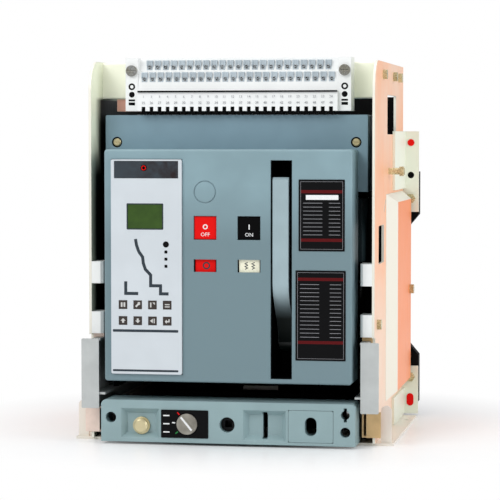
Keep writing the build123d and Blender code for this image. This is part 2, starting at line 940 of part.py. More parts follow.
def racking_screw():
    """Racking screw: square socket at the crank opening and a grooved thread behind."""
    y0 = back(screw_front)
    socket_end = y0 + screw_socket_length
    rear = back(screw_rear)
    points = [(0, y0), (screw_socket_r, y0), (screw_socket_r, socket_end), (screw_r - 1, socket_end + 1)]
    thread_from = back(base_depth + 12)
    thread_to = back(bearing_back - 6)
    groove_pitch = 12.0
    turns = int((thread_to - thread_from) / groove_pitch)
    points.append((screw_r, thread_from))
    for turn in range(turns):
        start = thread_from + turn * groove_pitch
        points += [(screw_r, start + groove_pitch * 0.6), (screw_r - 1, start + groove_pitch * 0.7),
                   (screw_r - 1, start + groove_pitch * 0.9), (screw_r, start + groove_pitch)]
    points += [(screw_r, rear), (0, rear)]
    screw = revolve(make_face(Polyline(*points, close=True)), Axis.Y)
    screw = Pos(0, 0, base_mid_z) * screw
    half = screw_square / 2
    return screw - block(-half, half, y0 - 1, y0 + screw_socket_length * 0.6, base_mid_z - half,
                         base_mid_z + half)


def racking_carriage():
    """Cross carriage with the drive nut and two hooks behind the breaker's lugs."""
    y0 = back(carriage_back)
    y1 = y0 + carriage_length
    low = pan_t + seat_gap
    high = low + carriage_height
    section = span(y0, y1, low, high)
    section -= span(y0 + carriage_wall, y1 + 1, low + carriage_wall, high - carriage_wall)
    beam = along_x(section, -carriage_half, carriage_half)
    beam += rod_y(0, base_mid_z, y0, y1, nut_r)
    beam -= rod_y(0, base_mid_z, y0 - 1, y1 + 1, screw_r + running_gap)
    for side in (-1, 1):
        x = side * hook_x
        beam += block(x - hook_half, x + hook_half, y1 - hook_t, y1, low, high + hook_height)
    return beam


# Rear base, bars, fingers and shutters

def rear_base():
    """Insulating base with phase ribs, shutter guides, ears and openings for the bars."""
    front = back(rear_base_front)
    rear = front + rear_base_t
    body = block(-inner_x + seat_gap, inner_x - seat_gap, front, rear, rear_base_bottom, rear_base_top)
    ear_x = inner_x - 10
    upper = polygon((ear_x, ear_upper_top), (half_width, ear_upper_top), (half_width, ear_upper_bottom),
                    (outer_x, ear_upper_bottom - ear_slope), (ear_x, ear_upper_bottom - ear_slope))
    lower = polygon((ear_x, ear_lower_bottom), (half_width, ear_lower_bottom), (half_width, ear_lower_top),
                    (outer_x, ear_lower_top + ear_slope), (ear_x, ear_lower_top + ear_slope))
    for face in (upper, lower):
        ear = along_y(face, plate_rear_y + bracket_t, rear)
        body += ear + mirrored(ear)
    for side in (-1, 1):
        x = side * pole_pitch / 2
        body += block(x - rear_rib_t / 2, x + rear_rib_t / 2, back(rear_rib_front), rear + rear_rib_back,
                      rear_rib_bottom, rear_rib_top)
    guide = block(shutter_half - shutter_grip, shutter_half - shutter_grip + rear_rib_t, back(guide_front),
                  rear + rear_rib_back, guide_bottom_z, guide_top_z)
    groove_front = back(shutter_setback) - seat_gap
    guide -= block(0, shutter_half + seat_gap, groove_front, groove_front + shutter_t + 2 * seat_gap,
                   0, rear_base_top)
    body += guide + mirrored(guide)
    cuts = []
    for x in poles:
        for z in (upper_bar_z, lower_bar_z):
            half = bar_w / 2 + seat_gap
            rise = bar_t / 2 + seat_gap
            cuts.append(block(x - half, x + half, front - 1, rear + 1, z - rise, z + rise))
            half, rise = cage_opening()
            cuts.append(block(x - half, x + half, front - 1, back(finger_front) + finger_length + seat_gap,
                              z - rise, z + rise))
    return body - cuts


def busbars():
    """Six copper bars through the rear base, each with two bolt holes."""
    bars = []
    for z in (upper_bar_z, lower_bar_z):
        for x in poles:
            sheet = span(x - bar_w / 2, x + bar_w / 2, back(bar_front), rear_y)
            for side in (-1, 1):
                sheet -= Pos(x + side * bar_hole_pitch / 2, rear_y - bar_hole_inset) * Circle(bar_hole_r)
            bars.append(along_z(sheet, z - bar_t / 2, z + bar_t / 2))
    return bars


def finger_profile():
    """Upper contact finger in (Y, height above the bar's face)."""
    y0 = back(finger_front)
    y1 = y0 + finger_length
    gap = seat_gap / 2
    lift = finger_h / 3
    return [(y0, gap + lift), (y0 + 3, gap), (y0 + 3 + finger_nose, gap), (y0 + 6 + finger_nose, gap + lift),
            (y1 - 6 - finger_nose, gap + lift), (y1 - 3 - finger_nose, gap), (y1 - 3, gap), (y1, gap + lift),
            (y1 - 2, gap + finger_h), (y0 + 2, gap + finger_h)]


def contact_fingers():
    """Two rows of jaw fingers on each of the six bars."""
    fingers = []
    for z in (upper_bar_z, lower_bar_z):
        for x in poles:
            for side in (-1, 1):
                points = [(y, z + side * (bar_t / 2 + rise)) for y, rise in finger_profile()]
                face = polygon(*points)
                for index in range(finger_count):
                    middle = x + (index - (finger_count - 1) / 2) * finger_pitch
                    fingers.append(along_x(face, middle - finger_w / 2, middle + finger_w / 2))
    return fingers


def cage_opening():
    """Half width and half height of the space that a set of fingers needs."""
    return bar_w / 2 + 2 * seat_gap, bar_t / 2 + finger_h + 2 * seat_gap


def finger_cages():
    """Steel frames that hold the fingers against the rear base."""
    front = back(rear_base_front) - cage_depth
    half, rise = cage_opening()
    cages = []
    for z in (upper_bar_z, lower_bar_z):
        for x in poles:
            ring = Pos(x, z) * RectangleRounded(2 * (half + cage_wall), 2 * (rise + cage_wall), 3)
            ring -= Pos(x, z) * Rectangle(2 * half, 2 * rise)
            cages.append(along_y(ring, front, back(rear_base_front)))
    return cages


def shutter(bar_z, way):
    """A safety shutter with three windows. It closes upwards for way 1 and downwards for way -1."""
    rise = bar_t / 2 + 1
    near = bar_z + way * rise
    far = bar_z - way * (rise + shutter_open_travel)
    low = min(near + way * shutter_rim, far - way * shutter_cover)
    high = max(near + way * shutter_rim, far - way * shutter_cover)
    face = span(-shutter_half, shutter_half, low, high)
    for x in poles:
        face -= span(x - bar_w / 2 - 2, x + bar_w / 2 + 2, min(near, far), max(near, far))
    y0 = back(shutter_setback)
    return along_y(face, y0, y0 + shutter_t)


# Breaker housings and current path

def chamber_cuts(y0, y1):
    cuts = []
    for x in poles:
        cuts.append(block(x - chamber_w / 2, x + chamber_w / 2, y0, y1, chamber_bottom, housing_top + 1))
    return cuts


def front_housing():
    """Front half of the moulded pole housing, with link windows and main shaft bearings."""
    y0 = back(housing_front)
    y1 = back(housing_split)
    body = block(-housing_half, housing_half, y0, y1, housing_bottom, housing_top)
    body += block(-hood_half, hood_half, y0, y1, housing_top - housing_flange, housing_top)
    body -= chamber_cuts(y0 + housing_wall, y1 + 1)
    for x in poles:
        half = link_window_w / 2
        body -= block(x - half, x + half, y0 - 1, y0 + housing_wall + 1, shaft_z - link_window_h / 2,
                      shaft_z + link_window_h / 2)
    arm_front = back(shaft_back) - shaft_r - 4
    arm_h = 2 * (shaft_r + 4)
    for side in (-1, 1):
        near = side * (shaft_half - shaft_arm_w)
        far = side * shaft_half
        body += block(min(near, far), max(near, far), arm_front, y0 + 1, shaft_z - arm_h / 2,
                      shaft_z + arm_h / 2)
    body -= rod_x(back(shaft_back), shaft_z, -shaft_half - 1, shaft_half + 1, shaft_r + running_gap)
    return body


def rear_housing():
    """Rear half of the pole housing, with openings for the stabs and current transformers."""
    y0 = back(housing_split)
    y1 = back(housing_rear)
    wall_y = y1 - chamber_rear_wall
    body = block(-housing_half, housing_half, y0, y1, housing_bottom, housing_top)
    hood_end = back(hood_rear)
    body += block(-hood_half, hood_half, y0, hood_end, housing_top - housing_flange, housing_top)
    cuts = chamber_cuts(y0 - 1, wall_y)
    half = bar_w / 2 + seat_gap
    rise = bar_t / 2 + seat_gap
    for x in poles:
        for z in (upper_bar_z, lower_bar_z):
            cuts.append(block(x - half, x + half, wall_y - 1, y1 + 1, z - rise, z + rise))
        pocket_half = transformer_w / 2 + seat_gap
        pocket_rise = transformer_h / 2 + seat_gap
        cuts.append(block(x - pocket_half, x + pocket_half, y1 - transformer_t - seat_gap, y1 + 1,
                          lower_bar_z - pocket_rise, lower_bar_z + pocket_rise))
    return body - cuts


def contact_stabs():
    """Upper stabs with fixed contacts, and lower stabs with the pivots of the moving contacts."""
    rear = back(stab_rear)
    contact_y = back(arm_pivot_back) + arm_contact_offset() + seat_gap
    stabs = []
    for x in poles:
        upper = stab_bar(x, contact_y, upper_bar_z)
        upper += block(x - arm_half, x + arm_half, contact_y, contact_y + 8, upper_bar_z - arm_tip_h / 2,
                       upper_bar_z + arm_tip_h / 2)
        stabs.append(upper)
        pivot_y = back(arm_pivot_back)
        lower = stab_bar(x, pivot_y - 14, lower_bar_z)
        for side in (-1, 1):
            near = x + side * (arm_half + seat_gap)
            far = near + side * 6
            cheek = span(pivot_y - 10, pivot_y + 10, lower_bar_z, arm_pivot_z)
            cheek += Pos(pivot_y, arm_pivot_z) * Circle(10)
            lower += along_x(cheek, min(near, far), max(near, far))
        lower += rod_x(pivot_y, arm_pivot_z, x - arm_half - 6, x + arm_half + 6, arm_pin_r)
        stabs.append(lower)
    return stabs


def stab_bar(x, front, z):
    """A flat bar with its rear edges chamfered for the fingers."""
    rear = back(stab_rear)
    lead = 3.0
    section = polygon((front, z - bar_t / 2), (rear - lead, z - bar_t / 2), (rear, z - bar_t / 2 + lead),
                      (rear, z + bar_t / 2 - lead), (rear - lead, z + bar_t / 2), (front, z + bar_t / 2))
    return along_x(section, x - bar_w / 2, x + bar_w / 2)


def current_transformers():
    """Ring transformers round the lower stabs."""
    y1 = back(housing_rear) - seat_gap
    rings = []
    for x in poles:
        ring = Pos(x, lower_bar_z) * RectangleRounded(transformer_w, transformer_h, 8)
        ring -= Pos(x, lower_bar_z) * Rectangle(bar_w + 2 * seat_gap, bar_t + 2 * seat_gap)
        rings.append(along_y(ring, y1 - transformer_t, y1))
    return rings


def chute_bottom():
    return upper_bar_z + arm_tip_h / 2 + chute_gap


def arc_chutes():
    """Arc chutes over the poles, with slots between the splitter plates."""
    low = chute_bottom()
    high = min(low + chute_h, hood_top - hood_wall - seat_gap)
    y0 = back(chute_front)
    y1 = back(chute_rear)
    chutes = []
    for x in poles:
        half = chamber_w / 2 - seat_gap
        chute = block(x - half, x + half, y0, y1, low, high)
        count = int((y1 - y0 - 2 * chute_pitch) / chute_pitch)
        slots = []
        for index in range(count + 1):
            y = y0 + chute_pitch * (index + 1)
            slots.append(block(x - half + 5, x + half - 5, y, y + chute_slot, low + 30, high + 1))
        chutes.append(chute - slots)
    return chutes


def arm_contact_offset():
    """How far the closed contact's face lies behind the arm's pivot."""
    return arm_t + 3.0


def contact_arms():
    """Moving contacts, drawn closed and turned open about their pivots."""
    y = back(arm_pivot_back)
    tip = upper_bar_z
    rear = y + arm_contact_offset()
    outline = polygon((y - 8, arm_pivot_z), (y - 2, tip - arm_tip_h / 2), (y, tip + arm_tip_h / 2),
                      (rear, tip + arm_tip_h / 2), (rear, tip - arm_tip_h / 2), (rear - 5, tip - arm_tip_h),
                      (y + 8, arm_pivot_z))
    outline += Pos(y, arm_pivot_z) * Circle(arm_boss_r)
    outline -= Pos(y, arm_pivot_z) * Circle(arm_pin_r + running_gap)
    pin_y = y - drive_pin_forward
    pin_z = arm_pivot_z + drive_pin_up
    ear = Pos(pin_y, pin_z) * Circle(drive_pin_r + 3)
    ear += span(pin_y, y, pin_z - drive_pin_r - 3, pin_z + drive_pin_r + 3)
    slot = Pos(pin_y, pin_z) * Circle(link_eye_r + drive_pin_r + 2)
    arms = []
    for x in poles:
        arm = along_x(outline, x - arm_half, x + arm_half)
        arm -= along_x(slot, x - link_t / 2 - 1, x + link_t / 2 + 1)
        for side in (-1, 1):
            near = x + side * (link_t / 2 + 1)
            far = near + side * 5
            arm += along_x(ear, min(near, far), max(near, far))
        arm += rod_x(pin_y, pin_z, x - link_t / 2 - 5, x + link_t / 2 + 5, drive_pin_r)
        arms.append(arm)
    pivot = Axis((0, y, arm_pivot_z), (1, 0, 0))
    return [arm.rotate(pivot, arm_open_deg) for arm in arms]


def drive_pin(open_deg):
    """Place of the drive pin in (Y, Z) at an opening angle of the arm."""
    reach = math.hypot(drive_pin_forward, drive_pin_up)
    start = math.degrees(math.atan2(drive_pin_up, -drive_pin_forward))
    dy, dz = turned(reach, start + open_deg)
    return back(arm_pivot_back) + dy, arm_pivot_z + dz


def crank_angle(open_deg):
    """Angle of the shaft's crank, from +Y towards +Z, for an opening angle of the arm."""
    pin_y, pin_z = drive_pin(open_deg)
    dy = pin_y - back(shaft_back)
    dz = pin_z - shaft_z
    reach = math.hypot(dy, dz)
    share = (crank_radius ** 2 + reach ** 2 - link_length ** 2) / (2 * crank_radius * reach)
    return math.degrees(math.atan2(dz, dy)) + math.degrees(math.acos(min(1.0, max(-1.0, share))))


def crank_pin(open_deg):
    dy, dz = turned(crank_radius, crank_angle(open_deg))
    return back(shaft_back) + dy, shaft_z + dz


def main_shaft():
    """Main shaft with one crank and pin for each pole, at rest with the contacts open."""
    shaft = rod_x(back(shaft_back), shaft_z, -shaft_half, shaft_half, shaft_r)
    pin_y, pin_z = crank_pin(arm_open_deg)
    for x in poles:
        near = x + link_t / 2 + seat_gap
        lever = hull_of_circles(back(shaft_back), shaft_z, shaft_r + 4, pin_y, pin_z, crank_boss_r)
        shaft += along_x(lever, near, near + crank_t)
        shaft += rod_x(pin_y, pin_z, x - link_t / 2 - 1, near + crank_t, drive_pin_r)
    return shaft


def hull_of_circles(y0, z0, r0, y1, z1, r1):
    """A lever's outline: two round ends and the straight sides between them."""
    length = math.hypot(y1 - y0, z1 - z0)
    uy = (z0 - z1) / length
    uz = (y1 - y0) / length
    web = polygon((y0 + uy * r0 * 0.9, z0 + uz * r0 * 0.9), (y1 + uy * r1 * 0.9, z1 + uz * r1 * 0.9),
                  (y1 - uy * r1 * 0.9, z1 - uz * r1 * 0.9), (y0 - uy * r0 * 0.9, z0 - uz * r0 * 0.9))
    return web + Pos(y0, z0) * Circle(r0) + Pos(y1, z1) * Circle(r1)


def drive_links():
    """Insulating links from the shaft's cranks to the moving contacts, free at the far eye."""
    y0, z0 = crank_pin(arm_open_deg)
    y1, z1 = drive_pin(arm_open_deg)
    bar = hull_of_circles(y0, z0, link_eye_r, y1, z1, link_eye_r)
    bar -= Pos(y0, z0) * Circle(drive_pin_r + running_gap)
    bar -= Pos(y1, z1) * Circle(drive_pin_r + link_play)
    return [along_x(bar, x - link_t / 2, x + link_t / 2) for x in poles]


def side_runners():
    """Steel runners on the breaker's sides and the two racking lugs under it."""
    low = rail_ledge_z + seat_gap
    outer = runner_outer_x() - seat_gap
    runner = block(housing_half, outer, back(runner_front), back(runner_rear), low, low + runner_height)
    hook_front = back(carriage_back) + carriage_length - hook_t
    lugs = []
    for side in (-1, 1):
        x = side * hook_x
        lugs.append(block(x - hook_half, x + hook_half, hook_front - seat_gap - lug_t, hook_front - seat_gap,
                          housing_bottom - lug_drop, housing_bottom))
    return both_sides(runner) + lugs


# Hood and bezel

def plug_face_z():
    return hood_top + 0.4


def hood():
    """Upper cover over the arc chutes: open below and behind, with vents and screw bores."""
    rear = back(hood_rear)
    outline = span(-hood_half, hood_half, housing_top, hood_top)
    outline = fillet(outline.vertices().group_by(Axis.Y)[-1], 2)
    cover = along_y(outline, hood_y, rear)
    cover -= block(-hood_half + hood_wall, hood_half - hood_wall, hood_y + hood_wall, rear - hood_wall,
                   housing_top - 1, hood_top - hood_wall)
    cuts = [block(trip_left - 1, bezel_half - 4 * bezel_wall, hood_y - 1, hood_y + hood_wall + 1,
                  housing_top - 1, well_top + 2 * well_wall)]
    for side in (-1, 1):
        x = side * hood_screw_x
        cuts.append(rod_y(x, hood_screw_z, hood_y - 1, hood_y + hood_bore_depth, hood_bore_r))
    front = hood_y + plug_setback
    cuts.append(block(-plug_half - seat_gap, plug_half + seat_gap, front - seat_gap,
                      front + plug_depth + seat_gap, hood_top - hood_wall - 1, hood_top + 1))
    for x in poles:
        for index in range(6):
            y = back(chute_front) + 6 + index * 10
            cuts.append(block(x - chamber_w / 2 + 8, x + chamber_w / 2 - 8, y, y + 4,
                              hood_top - hood_wall - 1, hood_top + 1))
    return cover - cuts


def hood_screws():
    """Two pan-head screws in the hood's bores, with crossed slots."""
    screws = []
    for side in (-1, 1):
        x = side * hood_screw_x
        seat = hood_y + hood_bore_depth
        head = rod_y(x, hood_screw_z, hood_y - 0.5, seat, hood_screw_r)
        head = chamfer(head.edges().filter_by(GeomType.CIRCLE).sort_by(Axis.Y)[0], 1)
        slot = block(x - hood_screw_r, x + hood_screw_r, hood_y - 1, hood_y + 0.8, hood_screw_z - 0.6,
                     hood_screw_z + 0.6)
        screws.append(head - slot)
    return screws


def secondary_plug():
    """Strip of secondary contacts, let into the hood's top."""
    front = hood_y + plug_setback
    top = plug_face_z()
    body = block(-plug_half, plug_half, front, front + plug_depth, top - plug_height, top)
    flange = 6.0
    under = hood_top - hood_wall - seat_gap
    body += block(-plug_half - flange, plug_half + flange, front, front + plug_depth, under - 4, under)
    grooves = []
    count = terminal_count
    for index in range(count):
        x = (index - (count - 1) / 2) * terminal_pitch
        grooves.append(block(x - 0.8, x + 0.8, front - 1, front + plug_depth + 1, top - 2, top + 1))
    return body - grooves


def bezel():
    """Front cover: a moulded shell with collared windows, handle slot and plate recesses."""
    y0 = back(0)
    outline = span(-bezel_half, bezel_half, bezel_bottom, bezel_top)
    outline = fillet(outline.vertices(), bezel_edge_r + 1)
    shell = along_y(outline, y0, hood_y)
    shell = fillet(shell.edges().group_by(Axis.Y)[0], bezel_edge_r)
    shell -= block(-bezel_half + bezel_wall, bezel_half - bezel_wall, y0 + bezel_wall, hood_y + 1,
                   bezel_bottom + bezel_wall, bezel_top - bezel_wall)
    inner_face = y0 + bezel_wall
    windows = [(off_x, button_z, button_w, button_h), (on_x, button_z, button_w, button_h)]
    for x, z, width, height in windows:
        collar = Pos(x, z) * Rectangle(width + 2 * collar_t, height + 2 * collar_t)
        shell += along_y(collar, inner_face - 0.5, inner_face + collar_depth)
    windows += [(off_x, flag_z, button_w, flag_h), (on_x, flag_z, button_w, flag_h)]
    cuts = []
    for x, z, width, height in windows:
        cuts.append(along_y(Pos(x, z) * Rectangle(width, height), y0 - 1, inner_face + collar_depth + 1))
    trip = span(trip_left - trip_clear, trip_right + trip_clear, trip_bottom - trip_clear,
                trip_top + trip_clear)
    cuts.append(along_y(trip, y0 - 1, inner_face + 1))
    cuts.append(along_y(span(well_left, well_right, well_bottom, well_top), y0 - 1, inner_face + 1))
    ring = Circle(knockout_r) - Circle(knockout_r - knockout_groove)
    cuts.append(along_y(Pos(knockout_x, knockout_z) * ring, y0 - 1, y0 + 0.8))
    for x, z, width, height in nameplate_places():
        cuts.append(along_y(Pos(x, z) * Rectangle(width + seat_gap, height + seat_gap), y0 - 1,
                            y0 + nameplate_sunk))
    return shell - cuts


def nameplate_places():
    return [(plate_one_x, plate_one_z, plate_one_w, plate_one_h),
            (plate_two_x, plate_two_z, plate_two_w, plate_two_h)]


def nameplates():
    plates = []
    for x, z, width, height in nameplate_places():
        y0 = back(0) + nameplate_sunk - nameplate_t
        plates.append(along_y(Pos(x, z) * RectangleRounded(width, height, 1), y0, y0 + nameplate_t))
    return plates


def push_button(x):
    """Square push button with a slightly dished face and a stem."""
    y0 = back(0) + button_sunk
    cap = Pos(x, button_z) * Rectangle(button_w - 2 * seat_gap, button_h - 2 * seat_gap)
    cap = along_y(cap, y0, y0 + button_depth)
    cap = fillet(cap.edges().group_by(Axis.Y)[0], 0.8)
    return cap + block(x - 4, x + 4, y0 + button_depth - 1, y0 + button_depth + button_stem, button_z - 4,
                       button_z + 4)


def indicator_flag(x):
    """Two-state flag behind a window."""
    y0 = back(0) + bezel_wall + seat_gap
    low = flag_z - flag_h / 2 - flag_inset / 2
    half = button_w / 2 - flag_inset
    flag = block(x - half, x + half, y0, y0 + flag_t, low, low + 2 * flag_travel)
    stem_z = low + 2
    return flag + block(x - 3, x + 3, y0 + flag_t - 0.5, y0 + flag_t + 12, stem_z, stem_z + 6)


# Charging mechanism

def handle_well():
    """Black moulded well behind the handle slot."""
    y0 = back(0) + bezel_wall
    y1 = back(well_depth)
    outer = span(well_left - well_wall, well_right + well_wall, well_bottom - well_wall + 0.2,
                 well_top + well_wall)
    well = along_y(outer, y0, y1)
    well -= block(well_left, well_right, y0 - 1, y1 - well_wall, well_bottom + 0.2, well_top)
    hub_y = back(handle_pivot_back)
    return well - rod_x(hub_y, handle_pivot_z, well_left - 5, well_right + 5, charge_shaft_r + seat_gap)


def charging_handle():
    """Charging handle: flat grip curving in to a hub, with its drive pawl."""
    y0 = back(0) + handle_sunk
    pivot_y = back(handle_pivot_back)
    front_edge = Polyline((y0, handle_top - 3), (y0, handle_flat_bottom))
    inward = Spline((y0, handle_flat_bottom), (y0 + 22, handle_pivot_z + 34), (pivot_y - handle_hub_r + 3,
                    handle_pivot_z - 6), tangents=((0, -1), (0.6, -1)))
    hub_bottom = Line((pivot_y - handle_hub_r + 3, handle_pivot_z - 6), (pivot_y, handle_pivot_z - 8))
    hub_side = Line((pivot_y, handle_pivot_z - 8), (pivot_y + handle_hub_r - 3, handle_pivot_z + 6))
    outward = Spline((pivot_y + handle_hub_r - 3, handle_pivot_z + 6), (y0 + 38, handle_pivot_z + 52),
                     (y0 + handle_t, handle_flat_bottom + 10), tangents=((-0.5, 1), (-0.1, 1)))
    rear_edge = Polyline((y0 + handle_t, handle_flat_bottom + 10), (y0 + handle_t, handle_top),
                         (y0 + 3, handle_top), (y0, handle_top - 3))
    outline = make_face(Wire([*front_edge.edges(), *inward.edges(), *hub_bottom.edges(), *hub_side.edges(),
                              *outward.edges(), *rear_edge.edges()]))
    outline += Pos(pivot_y, handle_pivot_z) * Circle(handle_hub_r)
    outline -= Pos(pivot_y, handle_pivot_z) * Circle(charge_shaft_r + running_gap)
    handle = along_x(outline, handle_left, handle_left + handle_w)
    pawl_x = handle_left + handle_w
    tip = ratchet_r + seat_gap
    pawl = polygon((pivot_y - 3, handle_pivot_z + tip), (pivot_y + 3, handle_pivot_z + tip),
                   (pivot_y - 6, handle_pivot_z + tip + 16), (pivot_y - 12, handle_pivot_z + tip + 14))
    return [handle, along_x(pawl, pawl_x, pawl_x + ratchet_t)]


def ratchet_outline():
    points = []
    step = 360 / ratchet_teeth
    for tooth in range(ratchet_teeth):
        points.append(turned(ratchet_r, tooth * step))
        points.append(turned(ratchet_r - ratchet_tooth, tooth * step + step * 0.12))
    return polygon(*points)


def charging_shaft():
    """Charging shaft with the ratchet wheel in the well and the spring cam."""
    y = back(handle_pivot_back)
    shaft = rod_x(y, handle_pivot_z, frame_left, frame_right + frame_t, charge_shaft_r)
    ratchet_x = handle_left + handle_w + seat_gap / 2
    shaft += along_x(Pos(y, handle_pivot_z) * ratchet_outline(), ratchet_x, ratchet_x + ratchet_t)
    cam = hull_of_circles(y, handle_pivot_z, cam_r, y - cam_throw, handle_pivot_z, cam_r - 3)
    shaft += along_x(cam, cam_left, cam_left + cam_t)
    return shaft


def mechanism_frame():
    """Two side frames of the drive, joined by rods and bolted to the housing by bent feet."""
    y0 = back(0) + bezel_wall
    y1 = back(housing_front)
    solids = []
    outline = polygon((y0, frame_bottom), (y1, frame_bottom), (y1, frame_top), (hood_y + 20, frame_top),
                      (y0, frame_top - frame_cut))
    outline -= Pos(back(shaft_back), shaft_z) * Circle(shaft_r + running_gap)
    outline -= Pos(back(handle_pivot_back), handle_pivot_z) * Circle(charge_shaft_r + running_gap)
    window = RectangleRounded(frame_window_w, frame_window_h, 8)
    outline -= Pos(back(frame_window_back), frame_top - frame_window_drop) * window
    left = along_x(outline, frame_left, frame_left + frame_t)
    right = along_x(outline, frame_right, frame_right + frame_t)
    for z in (frame_bottom, frame_top - frame_foot_drop):
        high = z + frame_foot_h
        left += block(frame_left - frame_foot_w, frame_left + 0.5, y1 - frame_t, y1, z, high)
        right += block(frame_right + frame_t - 0.5, frame_right + frame_foot_w, y1 - frame_t, y1, z, high)
    rods = [(back(frame_rod_upper_back), frame_top - frame_rod_inset),
            (back(frame_rod_lower_back), frame_bottom + frame_rod_inset)]
    for y, z in rods:
        solids.append(rod_x(y, z, frame_left + frame_t, frame_right, frame_rod_r))
    carrier_z = coil_z + coil_r + coil_foot_rise
    carrier = block(frame_left + frame_t, frame_right, back(coil_back), back(coil_back) + coil_length,
                    carrier_z, carrier_z + frame_t)
    solids += [left, right, carrier]
    shelf_rear = back(spring_back) + spring_r + 4
    solids.append(block(frame_left + frame_t, well_left - 2 * well_wall, back(spring_back) - spring_r - 4,
                        shelf_rear, spring_bottom - frame_t, spring_bottom))
    return solids


def closing_springs():
    """Two closing springs standing on the frame's shelf."""
    springs = []
    pitch = spring_length / spring_turns
    for side in (-1, 1):
        points = [(0, 0)]
        for turn in range(spring_turns):
            z = turn * pitch
            points.append((spring_r - spring_wire, z))
            points.append((spring_r, z + pitch / 2))
        points += [(spring_r - spring_wire, spring_length), (0, spring_length)]
        coil = revolve(Plane.XZ * make_face(Polyline(*points, close=True)), Axis.Z)
        springs.append(Pos(side * spring_x + spring_mid_x, back(spring_back), spring_bottom) * coil)
    return springs


def spring_crosshead():
    """Crosshead that the cam pulls down on the springs."""
    low = spring_bottom + spring_length + seat_gap
    y = back(spring_back)
    half = spring_x + spring_r + 2
    return block(cam_left, spring_mid_x + half, y - spring_r, y + spring_r - 6, low, low + crosshead_t)


def charging_motor():
    """Motor with its gearbox, clamped under the trip unit's rear."""
    x0 = motor_x - motor_length / 2
    motor = rod_x(back(motor_back), motor_z, x0, x0 + motor_length, motor_r)
    end = x0 + motor_length
    box_z = motor_z - motor_r
    motor += block(end - 1, end + gearbox_w, back(motor_back) - motor_r, back(motor_back) + motor_r, box_z,
                   box_z + 2 * motor_r)
    motor += block(motor_x - 20, motor_x + 20, back(motor_back), back(housing_front), box_z + 2, box_z + 8)
    return motor


def release_coils():
    """Closing, opening and undervoltage coils in a row on a carrier plate."""
    coils = []
    for index in (-1, 0, 1):
        x = index * coil_pitch
        coil = rod_y(x, coil_z, back(coil_back), back(coil_back) + coil_length, coil_r)
        coil += rod_y(x, coil_z, back(coil_back) + coil_length - 1, back(coil_back) + coil_length + 8, 4)
        coil += rod_y(x, coil_z, back(coil_back) - 8, back(coil_back) + 1, 3)
        coil += block(x - coil_r / 2, x + coil_r / 2, back(coil_back) + 4, back(coil_back) + coil_length - 4,
                      coil_z + coil_r / 2, coil_z + coil_r + coil_foot_rise)
        coils.append(coil)
    return coils


def auxiliary_switch():
    """Auxiliary switch at the right, with a row of terminals on its front."""
    x1 = housing_half - 2
    x0 = x1 - switch_w
    y1 = back(housing_front)
    z1 = housing_top - housing_flange - 2
    body = block(x0, x1, y1 - switch_depth, y1, z1 - switch_h, z1)
    cuts = []
    for index in range(5):
        z = z1 - switch_h + 8 + index * 13
        cuts.append(block(x0 + 6, x1 - 6, y1 - switch_depth - 1, y1 - switch_depth + 5, z, z + 7))
    return body - cuts


# Trip unit

def trip_unit_case():
    """Trip unit's case: a closed moulding with a bore for the reset button."""
    y0 = back(0)
    case = along_y(span(trip_left, trip_right, trip_bottom, trip_top), y0, y0 + trip_depth)
    case = fillet(case.edges().filter_by(Axis.Y), trip_corner_r)
    return case - rod_y(reset_x, reset_z, y0 - 1, y0 + reset_length + reset_travel + 1, reset_r + slide_gap)


def trip_unit_panel():
    """Front panel with openings for the window, screen, keys and lamps."""
    y0 = back(0) - trip_proud
    mid_x = (trip_left + trip_right) / 2
    mid_z = (trip_bottom + trip_top) / 2
    face = Pos(mid_x, mid_z) * RectangleRounded(trip_right - trip_left, trip_top - trip_bottom, trip_corner_r)
    panel = along_y(face, y0, back(0))
    gap = insert_gap
    cuts = [
        block(tinted_left - gap, tinted_right + gap, y0 - 1, back(0) + 1,
              tinted_bottom - gap, tinted_top + gap),
        block(screen_left - gap, screen_right + gap, y0 - 1, back(0) + 1,
              screen_bottom - gap, screen_top + gap),
    ]
    for x, z in key_places():
        half = key_size / 2 + gap
        cuts.append(block(x - half, x + half, y0 - 1, back(0) + 1, z - half, z + half))
    for x, z, radius in led_places():
        cuts.append(rod_y(x, z, y0 - 1, back(0) + 1, radius + gap))
    for z in (groove_z_high, groove_z_low):
        cuts.append(block(tinted_left, tinted_right, y0 - 1, y0 + groove_depth, z - groove_w / 2,
                          z + groove_w / 2))
    return panel - cuts


def key_places():
    return [(key_x + col * key_pitch_x, key_z - row * key_pitch_z) for row in range(2) for col in range(4)]


def led_places():
    lamps = [(led_x, led_big_z, led_big_r)]
    for index in range(3):
        lamps.append((led_x, led_z - index * led_pitch, led_r))
    return lamps


def keys_and_lamps():
    solids = []
    y0 = back(0) - trip_proud + key_sunk
    for x, z in key_places():
        key = Pos(x, z) * RectangleRounded(key_size, key_size, 0.8)
        solids.append(along_y(key, y0, back(0)))
    for x, z, radius in led_places():
        solids.append(rod_y(x, z, y0, back(0), radius))
    return solids


def tinted_window():
    face = span(tinted_left, tinted_right, tinted_bottom, tinted_top)
    face -= Pos(reset_x, reset_z) * Circle(reset_r + seat_gap)
    return along_y(face, back(0) - trip_proud + insert_sunk, back(0))


def display_screen():
    return along_y(span(screen_left, screen_right, screen_bottom, screen_top),
                   back(0) - trip_proud + insert_sunk, back(0))


def reset_button():
    front = back(0) - trip_proud
    button = rod_y(reset_x, reset_z, front, back(0) + reset_length, reset_r)
    return chamfer(button.edges().filter_by(GeomType.CIRCLE).sort_by(Axis.Y)[0], 0.6)


# Write the nodes

